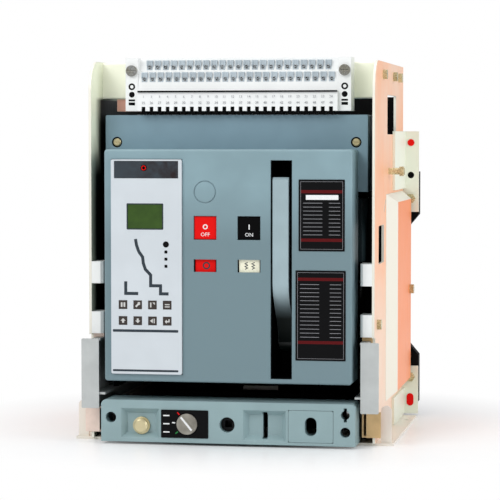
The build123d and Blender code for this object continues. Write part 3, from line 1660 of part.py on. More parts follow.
save("right_side_plate", side_plate(True))
save("left_side_plate", mirrored(side_plate(False)))
save("side_pans", *both_sides(side_pan()))
save("bottom_pan", bottom_pan())
save("top_crossbeam", top_crossbeam())
save("terminal_block", terminal_block())
save("secondary_fingers", *secondary_fingers())
save("mounting_brackets", *mounting_brackets())
save("red_plugs", *red_plugs())
save("cradle_bolts", *cradle_bolts())
save("nylon_guides", *nylon_guides())
save("guide_rails", *both_sides(guide_rail()))
right_rail = extension_rail()
save("right_extension_rail", right_rail)
save("left_extension_rail", mirrored(right_rail))
save("base_front_box", base_front_box())
save("position_label", position_label())
save("position_indicator", position_indicator())
save("padlock_slide", padlock_slide())
save("lock_button", lock_button())
save("racking_screw", racking_screw())
save("racking_carriage", racking_carriage())
save("rear_base", rear_base())
save("busbars", *busbars())
save("contact_fingers", *contact_fingers())
save("finger_cages", *finger_cages())
save("upper_shutter", shutter(upper_bar_z, 1))
save("lower_shutter", shutter(lower_bar_z, -1))
save("front_housing", front_housing())
save("rear_housing", rear_housing())
save("contact_stabs", *contact_stabs())
save("current_transformers", *current_transformers())
save("arc_chutes", *arc_chutes())
save("contact_arms", *contact_arms())
save("main_shaft", main_shaft())
save("drive_links", *drive_links())
save("side_runners", *side_runners())
save("hood", hood())
save("hood_screws", *hood_screws())
save("secondary_plug", secondary_plug())
save("bezel", bezel())
save("nameplates", *nameplates())
save("off_button", push_button(off_x))
save("on_button", push_button(on_x))
save("contact_indicator", indicator_flag(off_x))
save("charge_indicator", indicator_flag(on_x))
save("handle_well", handle_well())
save("charging_handle", *charging_handle())
save("charging_shaft", charging_shaft())
save("mechanism_frame", *mechanism_frame())
save("closing_springs", *closing_springs())
save("spring_crosshead", spring_crosshead())
save("charging_motor", charging_motor())
save("release_coils", *release_coils())
save("auxiliary_switch", auxiliary_switch())
save("trip_unit_case", trip_unit_case())
save("trip_unit_panel", trip_unit_panel())
save("keys_and_lamps", *keys_and_lamps())
save("tinted_window", tinted_window())
save("display_screen", display_screen())
save("reset_button", reset_button())

closing_deg = crank_angle(arm_open_deg) - crank_angle(0)
link_open = math.degrees(math.atan2(drive_pin(arm_open_deg)[1] - crank_pin(arm_open_deg)[1],
                                    drive_pin(arm_open_deg)[0] - crank_pin(arm_open_deg)[0]))
link_closed = math.degrees(math.atan2(drive_pin(0)[1] - crank_pin(0)[1], drive_pin(0)[0] - crank_pin(0)[0]))
print("main shaft closes through", round(closing_deg, 4), "degrees")
print("link turns", round(link_open - link_closed, 4), "degrees the same way in space")
print("overall width", round(2 * half_width, 3), "pole pitch", round(pole_pitch, 3))
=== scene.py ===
import math

import bmesh
import bpy
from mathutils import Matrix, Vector


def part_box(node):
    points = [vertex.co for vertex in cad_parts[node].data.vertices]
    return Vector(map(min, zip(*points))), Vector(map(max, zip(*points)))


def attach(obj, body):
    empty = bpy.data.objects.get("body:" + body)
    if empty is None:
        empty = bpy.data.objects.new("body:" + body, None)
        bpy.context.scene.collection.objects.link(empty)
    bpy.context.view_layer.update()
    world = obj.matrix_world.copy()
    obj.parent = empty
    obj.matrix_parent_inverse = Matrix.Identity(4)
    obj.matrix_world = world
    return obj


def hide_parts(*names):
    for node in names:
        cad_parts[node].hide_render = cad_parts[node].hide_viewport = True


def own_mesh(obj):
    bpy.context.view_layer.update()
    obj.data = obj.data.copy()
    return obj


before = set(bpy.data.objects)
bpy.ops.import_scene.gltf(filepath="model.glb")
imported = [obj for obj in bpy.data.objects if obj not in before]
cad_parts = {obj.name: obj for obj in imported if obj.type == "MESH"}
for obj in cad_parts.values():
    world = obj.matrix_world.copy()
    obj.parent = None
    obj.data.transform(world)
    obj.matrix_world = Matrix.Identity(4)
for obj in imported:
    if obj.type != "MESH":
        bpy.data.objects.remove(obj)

bl_info = {
    "name": "Air circuit breaker",
    "version": (1, 0, 0),
    "blender": (4, 5, 0),
    "location": "3D View > Sidebar > Breaker",
    "description": "Finishes and small parts of a draw-out air circuit breaker",
    "category": "Object",
}

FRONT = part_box("bezel")[0].y
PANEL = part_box("trip_unit_panel")[0].y

# How far a printed mark stands off its face
HAIR = 0.00008

# Points nearer than this are merged
WELD = 1e-7

# Steps in a rounded corner, and the least cosine that a mitred stroke's width is divided by
CORNER_STEPS = 4
MITRE_LIMIT = 0.4

# Seed of the small turns in a row of screws
SEED = 7

# Noise in features to the metre and relief in metres: moulding grain, drawn metal, rolled sheet, gloss
GRAIN_SCALE = 2600
DRAWN_SCALE = 500
DRAWN_RELIEF = 0.00004
ROLLED_SCALE = 420
ROLLED_STRETCH = (1, 1, 0.06)
ROLLED_RELIEF = 0.00003
GLOSSY_RELIEF = 0.00002

# Widths of the rounded and rubbed edges of metal and of sheet
METAL_EDGE = 0.0004
SHEET_EDGE = 0.0006


def tint(hex_code):
    """A hex colour as the linear red, green and blue that Blender uses."""
    parts = [int(hex_code[i:i + 2], 16) / 255 for i in (0, 2, 4)]
    return tuple(c / 12.92 if c <= 0.04045 else ((c + 0.055) / 1.055) ** 2.4 for c in parts)


def rectangle(x0, x1, z0, z1):
    return [(x0, z0), (x1, z0), (x1, z1), (x0, z1)]


def colour_setting(name, about, hex_code):
    return bpy.props.FloatVectorProperty(name=name, description=about, subtype="COLOR", size=3, min=0.0,
                                         max=1.0, default=tint(hex_code))


def length_setting(name, about, metres):
    return bpy.props.FloatProperty(name=name, description=about, subtype="DISTANCE", unit="LENGTH", min=0.0,
                                   precision=5, default=metres)


def angle_setting(name, about, degrees):
    return bpy.props.FloatProperty(name=name, description=about, subtype="ANGLE", unit="ROTATION",
                                   default=math.radians(degrees))


class BreakerColours(bpy.types.PropertyGroup):
    """Colours of the breaker's finishes."""
    hood: colour_setting("Hood", "Moulded hood over the arc chutes", "7793a0")
    bezel: colour_setting("Bezel", "Moulded front cover", "7f9aa2")
    base_box: colour_setting("Base box", "Moulded box at the cradle's foot", "8ba3a6")
    trip_face: colour_setting("Trip unit face", "Front panel of the trip unit", "c7ced3")
    terminal: colour_setting("Terminal block", "Moulded terminal block", "e9ebea")
    plate: colour_setting("Side plate", "Outer faces of the passivated side plates", "fab283")
    plate_inside: colour_setting("Plate inside", "Inner faces of the side plates", "f0f4dc")
    # Pale tone of the cut edges, also used as painted reflection on the front faces of the plates and pans
    plate_edge_and_reflection: colour_setting("Plate edge", "Cut edges of the plates", "ebe8db")
    pan_face: colour_setting("Pan face", "Outer faces of the pressed pans", "f68c4e")
    pan: colour_setting("Brackets", "Brackets and other pale sheet", "e8ebdb")
    zinc: colour_setting("Zinc sheet", "Rails and other zinc-plated sheet", "c3c7c6")
    gold: colour_setting("Yellow zinc", "Yellow-passivated fasteners", "b9a878")
    red: colour_setting("Red", "Opening button and plugs", "df0906")
    handle: colour_setting("Handle", "Charging handle", "96aab0")


class BreakerSizes(bpy.types.PropertyGroup):
    """Sizes of the small parts."""
    terminal_pitch: length_setting("Terminal pitch", "Distance between neighbouring terminals", 0.0096)
    screw_radius: length_setting("Screw radius", "Radius of a terminal screw's head", 0.0027)
    stroke: length_setting("Printed stroke", "Width of the printed curve on the trip unit", 0.0036)
    number_height: length_setting("Number height", "Height of the terminal numbers", 0.0040)


class BreakerStudio(bpy.types.PropertyGroup):
    """Camera and light."""
    azimuth: angle_setting("Azimuth", "Camera angle round the object", 10.082)
    elevation: angle_setting("Elevation", "Camera angle above the horizon", 2.921)
    distance: length_setting("Distance", "Camera distance from its target", 2.5234)
    lens: bpy.props.FloatProperty(name="Lens", description="Focal length in millimetres", min=1.0,
                                  default=159.32)
    light: bpy.props.FloatProperty(name="Light", description="Strength of all the lights", min=0.0,
                                   default=0.95)


def colours():
    return bpy.context.scene.breaker_colours


def sizes():
    return bpy.context.scene.breaker_sizes


# Materials

class NodeTree:
    """A node tree under construction."""

    def __init__(self, tree):
        self.tree = tree
        tree.nodes.clear()

    def fill(self, socket, value):
        """Link an input to a socket, or set its plain value. A colour of three numbers is opaque."""
        if isinstance(value, bpy.types.NodeSocket):
            self.tree.links.new(value, socket)
        elif socket.type == "RGBA":
            socket.default_value = (*value, 1.0)[:4]
        else:
            socket.default_value = value

    def node(self, kind, inputs=None, **settings):
        """A new node with these settings, and with inputs by name or number."""
        made = self.tree.nodes.new(kind)
        for key, value in settings.items():
            setattr(made, key, value)
        for key, value in (inputs or {}).items():
            self.fill(made.inputs[key], value)
        return made


class Shader(NodeTree):
    """A material under construction, with short calls for the nodes that it uses."""

    def __init__(self, name):
        self.material = bpy.data.materials.new(name)
        self.material.use_nodes = True
        super().__init__(self.material.node_tree)
        self.surface = self.node("ShaderNodeBsdfPrincipled")
        self.output = self.node("ShaderNodeOutputMaterial", {"Surface": self.surface.outputs[0]})
        self.place = self.node("ShaderNodeTexCoord").outputs["Object"]

    def give(self, name, value):
        self.fill(self.surface.inputs[name], value)

    def noise(self, scale, detail, stretch=None):
        """Noise over the object's own coordinates, in features of 1 / scale metres."""
        place = self.place
        if stretch:
            place = self.node("ShaderNodeMapping", {"Vector": place, "Scale": stretch}).outputs[0]
        inputs = {"Vector": place, "Scale": scale, "Detail": detail, "Roughness": 0.55}
        return self.node("ShaderNodeTexNoise", inputs).outputs["Fac"]

    def span(self, source, low, high, to_low=0.0, to_high=1.0):
        """The source's values from low to high, spread over to_low to to_high."""
        inputs = {"Value": source, "From Min": low, "From Max": high, "To Min": to_low, "To Max": to_high}
        return self.node("ShaderNodeMapRange", inputs).outputs["Result"]

    def mix(self, factor, first, second):
        """The first colour where the factor is 0, the second where it is 1."""
        return self.node("ShaderNodeMix", {0: factor, 6: first, 7: second}, data_type="RGBA").outputs[2]

    def maths(self, kind, first, second=0.5):
        return self.node("ShaderNodeMath", {0: first, 1: second}, operation=kind).outputs[0]

    def times(self, first, second):
        return self.maths("MULTIPLY", first, second)

    def axis(self, letter):
        return self.node("ShaderNodeSeparateXYZ", {0: self.place}).outputs["XYZ".index(letter)]

    def edges(self, radius):
        """A mask of the outer edges, and a normal that is rounded over them."""
        bevel = self.node("ShaderNodeBevel", {"Radius": radius}, samples=4).outputs[0]
        normal = self.node("ShaderNodeNewGeometry").outputs["Normal"]
        dot = self.node("ShaderNodeVectorMath", {0: bevel, 1: normal}, operation="DOT_PRODUCT")
        return self.span(dot.outputs["Value"], 0.995, 0.8), bevel

    def bump(self, height, distance, strength, normal=None):
        inputs = {"Height": height, "Distance": distance, "Strength": strength}
        if normal is not None:
            inputs["Normal"] = normal
        self.give("Normal", self.node("ShaderNodeBump", inputs).outputs[0])

    def coat(self, base, pattern, smooth, rough, relief, strength, normal=None, margin=0.2):
        """Give the surface its colour, with roughness and relief that follow one pattern."""
        self.give("Base Color", base)
        self.give("Roughness", self.span(pattern, margin, 1 - margin, smooth, rough))
        self.bump(pattern, relief, strength, normal)
        return self.material


def shade(colour, factor):
    return tuple(min(1.0, c * factor) for c in colour)


def moulded(name, colour, roughness=0.42, grain=0.00006, patch=0.06, worn=1.25, rim=SHEET_EDGE, shine=0.5,
            lower=None):
    """Moulded plastic: fine spark-eroded grain, faint clouding and slightly rubbed edges.

    With lower, (top height, foot height, factor), painted shade darkens the tone by the factor towards the
    foot."""
    look = Shader(name)
    fine = look.noise(GRAIN_SCALE, 2)
    edge, rounded = look.edges(rim)
    cloud = look.span(look.noise(22, 2), 0.3, 0.7)
    base = look.mix(cloud, shade(colour, 1 - patch), shade(colour, 1 + patch))
    if lower:
        # Painted shade: the tone falls by the factor towards the foot
        top, foot, factor = lower
        base = look.mix(look.span(look.axis("Z"), top, foot), base, shade(colour, factor))
    rubbed = look.times(edge, look.span(look.noise(180, 4), 0.35, 0.7))
    base = look.mix(look.times(rubbed, 0.5), base, shade(colour, worn))
    look.give("Specular IOR Level", shine)
    return look.coat(base, fine, roughness - 0.05, roughness + 0.07, grain, 0.6, rounded)


def bare_metal(name, colour, roughness, streak=(1, 1, 1), patch=0.1, second=None, metallic=1.0):
    """Metal with drawn streaks, faint stains of a second colour and bright edges."""
    look = Shader(name)
    lines = look.noise(DRAWN_SCALE, 3, stretch=streak)
    edge, rounded = look.edges(METAL_EDGE)
    base = look.mix(look.span(look.noise(35, 4), 0.35, 0.65), colour, second or shade(colour, 1 - patch))
    base = look.mix(look.times(edge, 0.5), base, shade(colour, 1.3))
    look.give("Metallic", metallic)
    return look.coat(base, lines, roughness - 0.08, roughness + 0.1, DRAWN_RELIEF, 0.35, rounded, 0.25)


def passivated_sheet(name, colour, pale, low, high, roughness, metallic, reach=0.55):
    """Sheet with a thin passivation that turns pale from low to high, in broad clouds and at its edges."""
    look = Shader(name)
    lines = look.noise(ROLLED_SCALE, 3, stretch=ROLLED_STRETCH)
    edge, rounded = look.edges(SHEET_EDGE)
    fade = look.times(look.span(look.axis("Z"), low, high), reach)
    amount = look.maths("ADD", fade, look.span(look.noise(7, 3), 0.35, 0.75, -0.15, 0.35))
    base = look.mix(look.node("ShaderNodeClamp", {0: amount}).outputs[0], colour, pale)
    base = look.mix(look.times(edge, 0.8), base, pale)
    look.give("Metallic", metallic)
    return look.coat(base, lines, roughness - 0.07, roughness + 0.1, ROLLED_RELIEF, 0.3, rounded)


def two_sided_sheet(name, outer, front, depth, pale=0.5):
    """Sheet beside the breaker: warm outside, pale edges and front faces that are partly painted reflection,
    and an inside with painted shade that darkens it to the rear, the foot and under the beam.
    """
    look = Shader(name)
    edge_tone_and_reflection, inner = colours().plate_edge_and_reflection, colours().plate_inside
    normal = look.node("ShaderNodeNewGeometry").outputs["Normal"]
    across = look.node("ShaderNodeSeparateXYZ", {0: normal}).outputs[0]
    side = look.times(across, look.maths("SIGN", look.axis("X")))
    lines = look.noise(ROLLED_SCALE, 3, stretch=ROLLED_STRETCH)
    edge, rounded = look.edges(SHEET_EDGE)
    lit, unlit = 0.36, 0.31
    # Painted shade on the inside: darker towards the rear below the lit height, and under the beam
    rear_shade = look.times(look.span(look.axis("Y"), front, front + depth), look.span(look.axis("Z"), lit, unlit))
    beam_top, beam_foot = 0.402, 0.398
    shade_under_beam = look.times(look.span(look.axis("Y"), front + 0.03, front + 0.06),
                            look.span(look.axis("Z"), beam_top, beam_foot))
    painted_shade = look.mix(look.maths("MAXIMUM", rear_shade, shade_under_beam), inner, tint("0c0e0a"))
    paler = tuple(a + (b - a) * pale for a, b in zip(outer, edge_tone_and_reflection))
    warm = look.mix(look.span(look.noise(6, 3), 0.35, 0.7), outer, paler)
    pale_top, pale_foot = 0.28, 0.08
    warm = look.mix(look.times(look.span(look.axis("Z"), pale_top, pale_foot), pale * 0.7), warm, edge_tone_and_reflection)
    # Faces that don't face outwards take the pale edge tone, partly painted reflection of the front light
    base = look.mix(look.span(side, 0.95, 0.99), edge_tone_and_reflection, warm)
    # Inner faces take the painted shade
    base = look.mix(look.span(side, -0.5, -0.9), base, painted_shade)
    # Bevelled edges turn pale too, except inside: partly painted reflection
    base = look.mix(look.times(edge, look.span(side, -0.9, -0.2)), base, edge_tone_and_reflection)
    look.give("Metallic", 0.1)
    return look.coat(base, lines, 0.34, 0.5, ROLLED_RELIEF, 0.3, rounded)


def two_toned_metal(name, first, second, start, end, roughness, metallic, stain=0.1, from_middle=False):
    """Plated metal whose tone changes across the breaker, or outwards from its middle."""
    look = Shader(name)
    lines = look.noise(DRAWN_SCALE, 3)
    edge, rounded = look.edges(METAL_EDGE)
    place = look.axis("X")
    if from_middle:
        place = look.maths("ABSOLUTE", place)
    base = look.mix(look.span(place, start, end), first, second)
    base = look.mix(look.times(look.span(look.noise(90, 4), 0.4, 0.6), stain), base, tint("6f6436"))
    base = look.mix(look.times(edge, 0.6), base, tint("eeeadb"))
    look.give("Metallic", metallic)
    return look.coat(base, lines, roughness - 0.06, roughness + 0.1, DRAWN_RELIEF, 0.35, rounded, 0.25)


def fading_moulding(name, colour, deep_colour, front, depth):
    """Moulding that darkens from its front towards the rear, where little light reaches it."""
    look = Shader(name)
    fine = look.noise(GRAIN_SCALE, 2)
    edge, rounded = look.edges(SHEET_EDGE)
    base = look.mix(look.span(look.noise(30, 2), 0.3, 0.7), shade(colour, 0.95), shade(colour, 1.05))
    base = look.mix(look.span(look.axis("Y"), front, front + depth), base, deep_colour)
    base = look.mix(look.times(edge, 0.3), base, shade(colour, 1.2))
    return look.coat(base, fine, 0.36, 0.48, 0.00005, 0.6, rounded)


def printed(name, hex_code, roughness=0.45, shine=0.3):
    """Printed or lacquered surface with a faintly uneven film."""
    look = Shader(name)
    colour = tint(hex_code)
    film = look.noise(700, 3)
    base = look.mix(look.span(film, 0.3, 0.7), shade(colour, 0.92), shade(colour, 1.06))
    look.give("Specular IOR Level", shine)
    return look.coat(base, film, roughness - 0.05, roughness + 0.08, GLOSSY_RELIEF, 0.3)


def display_glass(name):
    """Dark green display with a faint dot raster."""
    look = Shader(name)
    dots = look.node("ShaderNodeTexVoronoi", {"Vector": look.place, "Scale": 1400})
    raster = look.span(dots.outputs["Distance"], 0.1, 0.6)
    cloud = look.span(look.noise(60, 2), 0.3, 0.7)
    base = look.mix(cloud, tint("2b4610"), tint("365414"))
    look.give("Base Color", look.mix(look.times(raster, 0.25), base, tint("1f370b")))
    look.give("Roughness", look.span(cloud, 0.0, 1.0, 0.16, 0.24))
    look.give("Coat Weight", 0.1)
    look.give("Specular IOR Level", 0.3)
    look.bump(raster, GLOSSY_RELIEF, 0.2)
    return look.material


def smoked_window(name):
    """Smoked window: dark body under a clear gloss, with a painted red reflection on its right."""
    look = Shader(name)
    low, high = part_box("tinted_window")
    cloud = look.noise(90, 3)
    # Painted red reflection, growing towards the right in clouds
    warm = look.times(look.span(look.axis("X"), low.x, high.x), look.span(cloud, 0.35, 0.65))
    look.give("Coat Weight", 0.15)
    look.give("Specular IOR Level", 0.3)
    return look.coat(look.mix(warm, tint("343c43"), tint("1d0a0a")), cloud, 0.12, 0.2, GLOSSY_RELIEF, 0.2,
                     margin=0.3)


def make_finishes():
    """Every finish by name."""
    tones = colours()
    return {
        "plate": two_sided_sheet("side_plate_passivation", tones.plate, front=FRONT + 0.010, depth=0.035),
        "pan_face": two_sided_sheet("pan_passivation", tones.pan_face, front=FRONT, depth=0.2, pale=0.05),
        "pan": passivated_sheet("bracket_sheet", tones.pan, shade(tones.pan, 1.08), low=0.0, high=0.4,
                                roughness=0.38, metallic=0.1),
        "foot": passivated_sheet("foot_sheet", tint("e6e2d6"), tint("f0e4dc"), low=0.0, high=0.05,
                                 roughness=0.38, metallic=0.1),
        "beam": passivated_sheet("beam_sheet", tint("f2a892"), tint("f8f9e6"), low=0.3985, high=0.4005,
                                 roughness=0.45, metallic=0.0, reach=1.2),
        "zinc": bare_metal("zinc_sheet", tones.zinc, 0.42, streak=(1, 1, 0.08), patch=0.12, metallic=0.55),
        "gold": bare_metal("yellow_zinc", tones.gold, 0.32, second=tint("cfc49c"), metallic=0.7),
        "steel": bare_metal("bright_steel", tint("c9cccd"), 0.3, streak=(0.1, 1, 1), metallic=0.8),
        "dark_steel": bare_metal("oiled_steel", tint("3a3c3e"), 0.4, streak=(1, 1, 0.1), metallic=0.7),
        "copper": bare_metal("plated_copper", tint("c98a63"), 0.32, streak=(1, 0.1, 1), patch=0.2),
        "brass": bare_metal("turned_brass", tint("d9cda4"), 0.3, streak=(0.1, 0.1, 0.1), patch=0.12,
                            metallic=0.8),
        "rail_gold": two_toned_metal("guide_rail_zinc", tint("efd8cb"), tint("d0ae7c"), start=-0.01,
                                     end=0.01, roughness=0.4, metallic=0.2),
        "bolts": two_toned_metal("plated_bolts", tint("8e8f8d"), tint("d8cda2"), start=0.148, end=0.152,
                                 roughness=0.25, metallic=0.5, stain=0.4, from_middle=True),
        # Near black: black paint on the mechanism frame, and painted shade on the side runners and racking
        # carriage, seen in dark gaps
        "black_and_gap_shade": moulded("black_steel_and_gap_shade", tint("070809"), 0.7, grain=0.00003, patch=0.1, worn=1.5,
                             shine=0.04),
        "knob": bare_metal("knob_metal", tint("a39f95"), 0.35, second=tint("77736a"), metallic=0.5),
        "clamp": bare_metal("terminal_clamp", tint("bcc8cf"), 0.4, patch=0.15, metallic=0.3),
        # Near black: painted shade of the crank hole on the racking screw
        "racking_screw_shade": bare_metal("screw_steel_and_hole_shade", tint("0e0e10"), 0.5, streak=(0.1, 1, 1), metallic=0.6),
        "hood": moulded("hood_moulding", tones.hood),
        # Painted shade darkens the bezel's lower part
        "bezel": moulded("bezel_moulding", tones.bezel, rim=0.001, lower=(0.300, 0.235, 0.70)),
        "base_box": moulded("base_box_moulding", tones.base_box, rim=0.001),
        "trip": moulded("trip_unit_moulding", tones.trip_face, 0.38, grain=0.00003, patch=0.03, worn=1.05),
        # Darker than the face: painted shade on the case's sides
        "trip_case_shade": moulded("trip_unit_case_shaded_moulding", tint("93a5af"), 0.4, grain=0.00003, patch=0.04,
                             worn=1.3),
        "terminal": moulded("terminal_moulding", tones.terminal, 0.4, grain=0.00004, patch=0.03,
                            worn=1.03),
        "nylon": moulded("nylon_moulding", tint("eff1ef"), 0.5, grain=0.00004, patch=0.03, worn=1.02),
        "black": moulded("black_moulding", tint("040405"), 0.6, grain=0.00005, patch=0.1, worn=2.0,
                         shine=0.06),
        "compound": moulded("pole_compound", tint("080809"), 0.65, grain=0.0001, patch=0.15, worn=1.8,
                            shine=0.08),
        "grey": moulded("grey_moulding", tint("1d2a2e"), 0.5, shine=0.15),
        "handle": fading_moulding("handle_moulding", tones.handle, tint("0d1917"), front=FRONT + 0.004,
                                  depth=0.024),
        "red": moulded("red_moulding", tones.red, 0.5, grain=0.00003, patch=0.05, worn=1.1, shine=0.12),
        "shutter": moulded("shutter_sheet", tint("8c3a2c"), 0.5),
        "ink": printed("black_ink", "2a343c"),
        "white_ink": printed("white_ink", "e6e8e8"),
        "key_ink": printed("key_ink", "c6c6c3"),
        "green_ink": printed("green_ink", "1f7a3a"),
        "grey_ink": printed("grey_ink", "8f9094", 0.5),
        # Painted shade for holes and recesses
        "painted_hole_shade": printed("deep_shadow", "060607", 0.6, shine=0.1),
        "plate_black": printed("black_plate", "060608", 0.5, shine=0.1),
        "dark_red_ink": printed("dark_red_band", "560e11", 0.5, shine=0.1),
        "key": printed("key_film", "3d3734", 0.5, shine=0.15),
        "cream": printed("cream_flag", "f3f0d8"),
        "screen": display_glass("display_glass"),
        "window": smoked_window("smoked_window"),
    }


NODE_FINISHES = {
    "plate": ["right_side_plate", "left_side_plate"],
    "pan_face": ["side_pans"],
    "pan": ["mounting_brackets"],
    "foot": ["bottom_pan"],
    "beam": ["top_crossbeam"],
    "zinc": ["left_extension_rail", "right_extension_rail"],
    "gold": ["hood_screws"],
    "bolts": ["cradle_bolts"],
    "knob": ["position_indicator"],
    "rail_gold": ["guide_rails"],
    "racking_screw_shade": ["racking_screw"],
    "steel": ["main_shaft", "spring_crosshead"],
    # Black paint on the frame; painted shade on the runners and carriage
    "black_and_gap_shade": ["side_runners", "mechanism_frame", "racking_carriage"],
    "dark_steel": ["finger_cages", "closing_springs", "charging_motor", "charging_shaft"],
    "copper": ["busbars", "contact_fingers", "contact_stabs", "contact_arms"],
    "brass": ["lock_button"],
    "hood": ["hood", "arc_chutes"],
    "bezel": ["bezel"],
    "base_box": ["base_front_box", "padlock_slide"],
    "trip": ["trip_unit_panel"],
    "trip_case_shade": ["trip_unit_case"],
    "terminal": ["terminal_block", "secondary_plug"],
    "nylon": ["nylon_guides"],
    "black": ["handle_well", "current_transformers", "release_coils", "drive_links",
              "on_button", "secondary_fingers", "reset_button"],
    "compound": ["rear_base", "front_housing", "rear_housing"],
    "grey": ["auxiliary_switch"],
    "handle": ["charging_handle"],
    "red": ["off_button", "red_plugs", "contact_indicator"],
    "shutter": ["upper_shutter", "lower_shutter"],
    "plate_black": ["position_label", "nameplates"],
    "key": ["keys_and_lamps"],
    "cream": ["charge_indicator"],
    "screen": ["display_screen"],
    "window": ["tinted_window"],
}
FINISHES = {}

# Terminal rows: name, count, depth behind the block's front, height over its foot, and the clamps' base
TERMINAL_ROWS = (
    ("upper", 23, 0.0158, 0.0535, 0.0026),
    ("lower", 24, 0.0080, 0.0395, 0.0012),
)

# Printed curve and corner of the trip unit, as points in (x, z) in millimetres
TRIP_CURVE = [(-106.3, 237.8), (-105.2, 231), (-102.6, 223.5), (-98.0, 217.1), (-97.2, 210), (-94.8, 203),
              (-88.6, 196.5), (-88.6, 184.2), (-77.0, 184.2), (-77.0, 175.0), (-67.6, 175.0)]
TRIP_CORNER = [(-118.0, 188.9), (-118.0, 175.0), (-103.3, 175.0)]

# Outlines of the key symbols by (row, column), in millimetres from the middle of the key
KEY_SYMBOLS = {
    (0, 0): [rectangle(-2.6, -0.6, -2.6, 2.6), rectangle(0.6, 2.6, -2.6, 2.6)],
    (0, 1): [[(-3, -1.6), (-1.6, -3), (1.2, -0.2), (2.8, 0), (2.8, 3), (0, 3), (-0.2, 1.2)]],
    (0, 2): [rectangle(-2.8, -1.2, -2.8, 2.8), [(0, 2.8), (2.8, 0), (2.8, 2.8)]],
    (0, 3): [rectangle(-2.8, 2.8, -2.6, -1.4), rectangle(-2.8, 2.8, 0, 1.2)],
    (1, 0): [[(-3, -0.2), (-1.2, -0.2), (-1.2, -2.6), (1.2, -2.6), (1.2, -0.2), (3, -0.2), (0, 2.8)]],
    (1, 1): [[(-3, 0.2), (0, -2.8), (3, 0.2), (1.2, 0.2), (1.2, 2.6), (-1.2, 2.6), (-1.2, 0.2)]],
    (1, 2): [[(-3, 0), (0.4, -2.6), (0.4, 2.6)], rectangle(1.4, 2.6, -2.6, 2.6)],
    (1, 3): [[(-3, -0.6), (-0.6, -3), (-0.6, -1.4), (2.8, -1.4), (2.8, 2.2), (1.4, 2.2), (1.4, 0.2),
              (-0.6, 0.2), (-0.6, 1.8)]],
}

# Blank plates: left, right, foot, top, upper band, lower band, highest ruled row and number of rows
BARE_PLATES = (
    (0.08305, 0.13555, 0.2255, 0.3065, 0.293, 0.2380, 0.2800, 9),
    (0.0796, 0.1368, 0.10075, 0.20325, 0.1935, 0.1215, 0.1875, 14),
)

# Area lights: name, place, size in metres and power in watts
STUDIO_LIGHTS = (
    ("key_light", (-1.6, -2.6, 2.4), 1.8, 62),
    ("fill_light", (2.8, -0.9, 1.3), 1.8, 38),
    ("top_light", (0.0, 0.2, 2.6), 1.6, 20),
)


def set_finish(obj, finish):
    obj.data.materials.clear()
    obj.data.materials.append(FINISHES[finish])


# Mesh helpers

def add_object(name, data):
    """A new object with this data, in the scene."""
    made = bpy.data.objects.new(name, data)
    bpy.context.scene.collection.objects.link(made)
    return made


def shape_object(name, work):
    """Turn a bmesh into an object whose faces point outwards."""
    bmesh.ops.recalc_face_normals(work, faces=work.faces)
    mesh = bpy.data.meshes.new(name)
    work.to_mesh(mesh)
    work.free()
    return add_object(name, mesh)


def mesh_object(name, work, finish, body):
    """Turn a bmesh into a finished piece that rides on a body."""
    bmesh.ops.remove_doubles(work, verts=work.verts, dist=WELD)
    piece = shape_object(name, work)
    set_finish(piece, finish)
    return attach(piece, body)


def flat_marks(name, outlines, face, finish, body):
    """One piece of printed marks with these outlines in (x, z), on a front face at y = face."""
    work = bmesh.new()
    for outline in outlines:
        add_prism(work, outline, face, HAIR)
    return mesh_object(name, work, finish, body)


def middle_and_face(node):
    """The middle of a node's box in x and z, and the y of its front."""
    low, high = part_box(node)
    return (low.x + high.x) / 2, (low.z + high.z) / 2, low.y


def join_loops(work, near, far):
    """Faces all round between two loops of as many points."""
    count = len(near)
    for index in range(count):
        follow = (index + 1) % count
        work.faces.new([near[index], near[follow], far[follow], far[index]])


def add_prism(work, outline, y_rear, proud, taper=0.0):
    """Add a flat closed form with an outline in (x, z), standing proud of a front face."""
    centre_x = sum(p[0] for p in outline) / len(outline)
    centre_z = sum(p[1] for p in outline) / len(outline)
    rear = [work.verts.new((x, y_rear, z)) for x, z in outline]
    front = []
    for x, z in outline:
        reach = math.hypot(x - centre_x, z - centre_z) or 1.0
        inset = taper / reach
        front.append(work.verts.new((x - (x - centre_x) * inset, y_rear - proud, z - (z - centre_z) * inset)))
    work.faces.new(rear)
    work.faces.new(list(reversed(front)))
    join_loops(work, front, rear)


def stroke_outline(points, width):
    """The outline of a mitred stroke along points in (x, z)."""
    left, right = [], []
    last = len(points) - 1
    for index, (x, z) in enumerate(points):
        before = Vector(points[max(index - 1, 0)])
        after = Vector(points[min(index + 1, last)])
        here = Vector((x, z))
        first = (here - before).normalized() if index > 0 else (after - here).normalized()
        second = (after - here).normalized() if index < last else first
        normal = Vector((-first.y, first.x)) + Vector((-second.y, second.x))
        normal.normalize()
        reach = width / 2 / max(MITRE_LIMIT, normal.dot(Vector((-first.y, first.x))))
        left.append((x + normal.x * reach, z + normal.y * reach))
        right.append((x - normal.x * reach, z - normal.y * reach))
    return left + list(reversed(right))


def frame_outlines(x0, x1, z0, z1, width):
    """Four strokes round a rectangle."""
    corners = rectangle(x0, x1, z0, z1)
    return [stroke_outline([start, end], width) for start, end in zip(corners, corners[1:] + corners[:1])]


def rounded_outline(x0, x1, z0, z1, radius):
    """A rectangle with rounded corners."""
    outline = []
    corners = ((x1 - radius, z1 - radius, 0), (x0 + radius, z1 - radius, 90),
               (x0 + radius, z0 + radius, 180), (x1 - radius, z0 + radius, 270))
    for cx, cz, start in corners:
        for step in range(CORNER_STEPS + 1):
            angle = math.radians(start + 90 * step / CORNER_STEPS)
            outline.append((cx + radius * math.cos(angle), cz + radius * math.sin(angle)))
    return outline


def on_circle(cx, cz, radius, angle):
    return cx + radius * math.cos(angle), cz + radius * math.sin(angle)


def circle_points(cx, cz, radius, sides=24):
    return [on_circle(cx, cz, radius, 2 * math.pi * side / sides) for side in range(sides)]


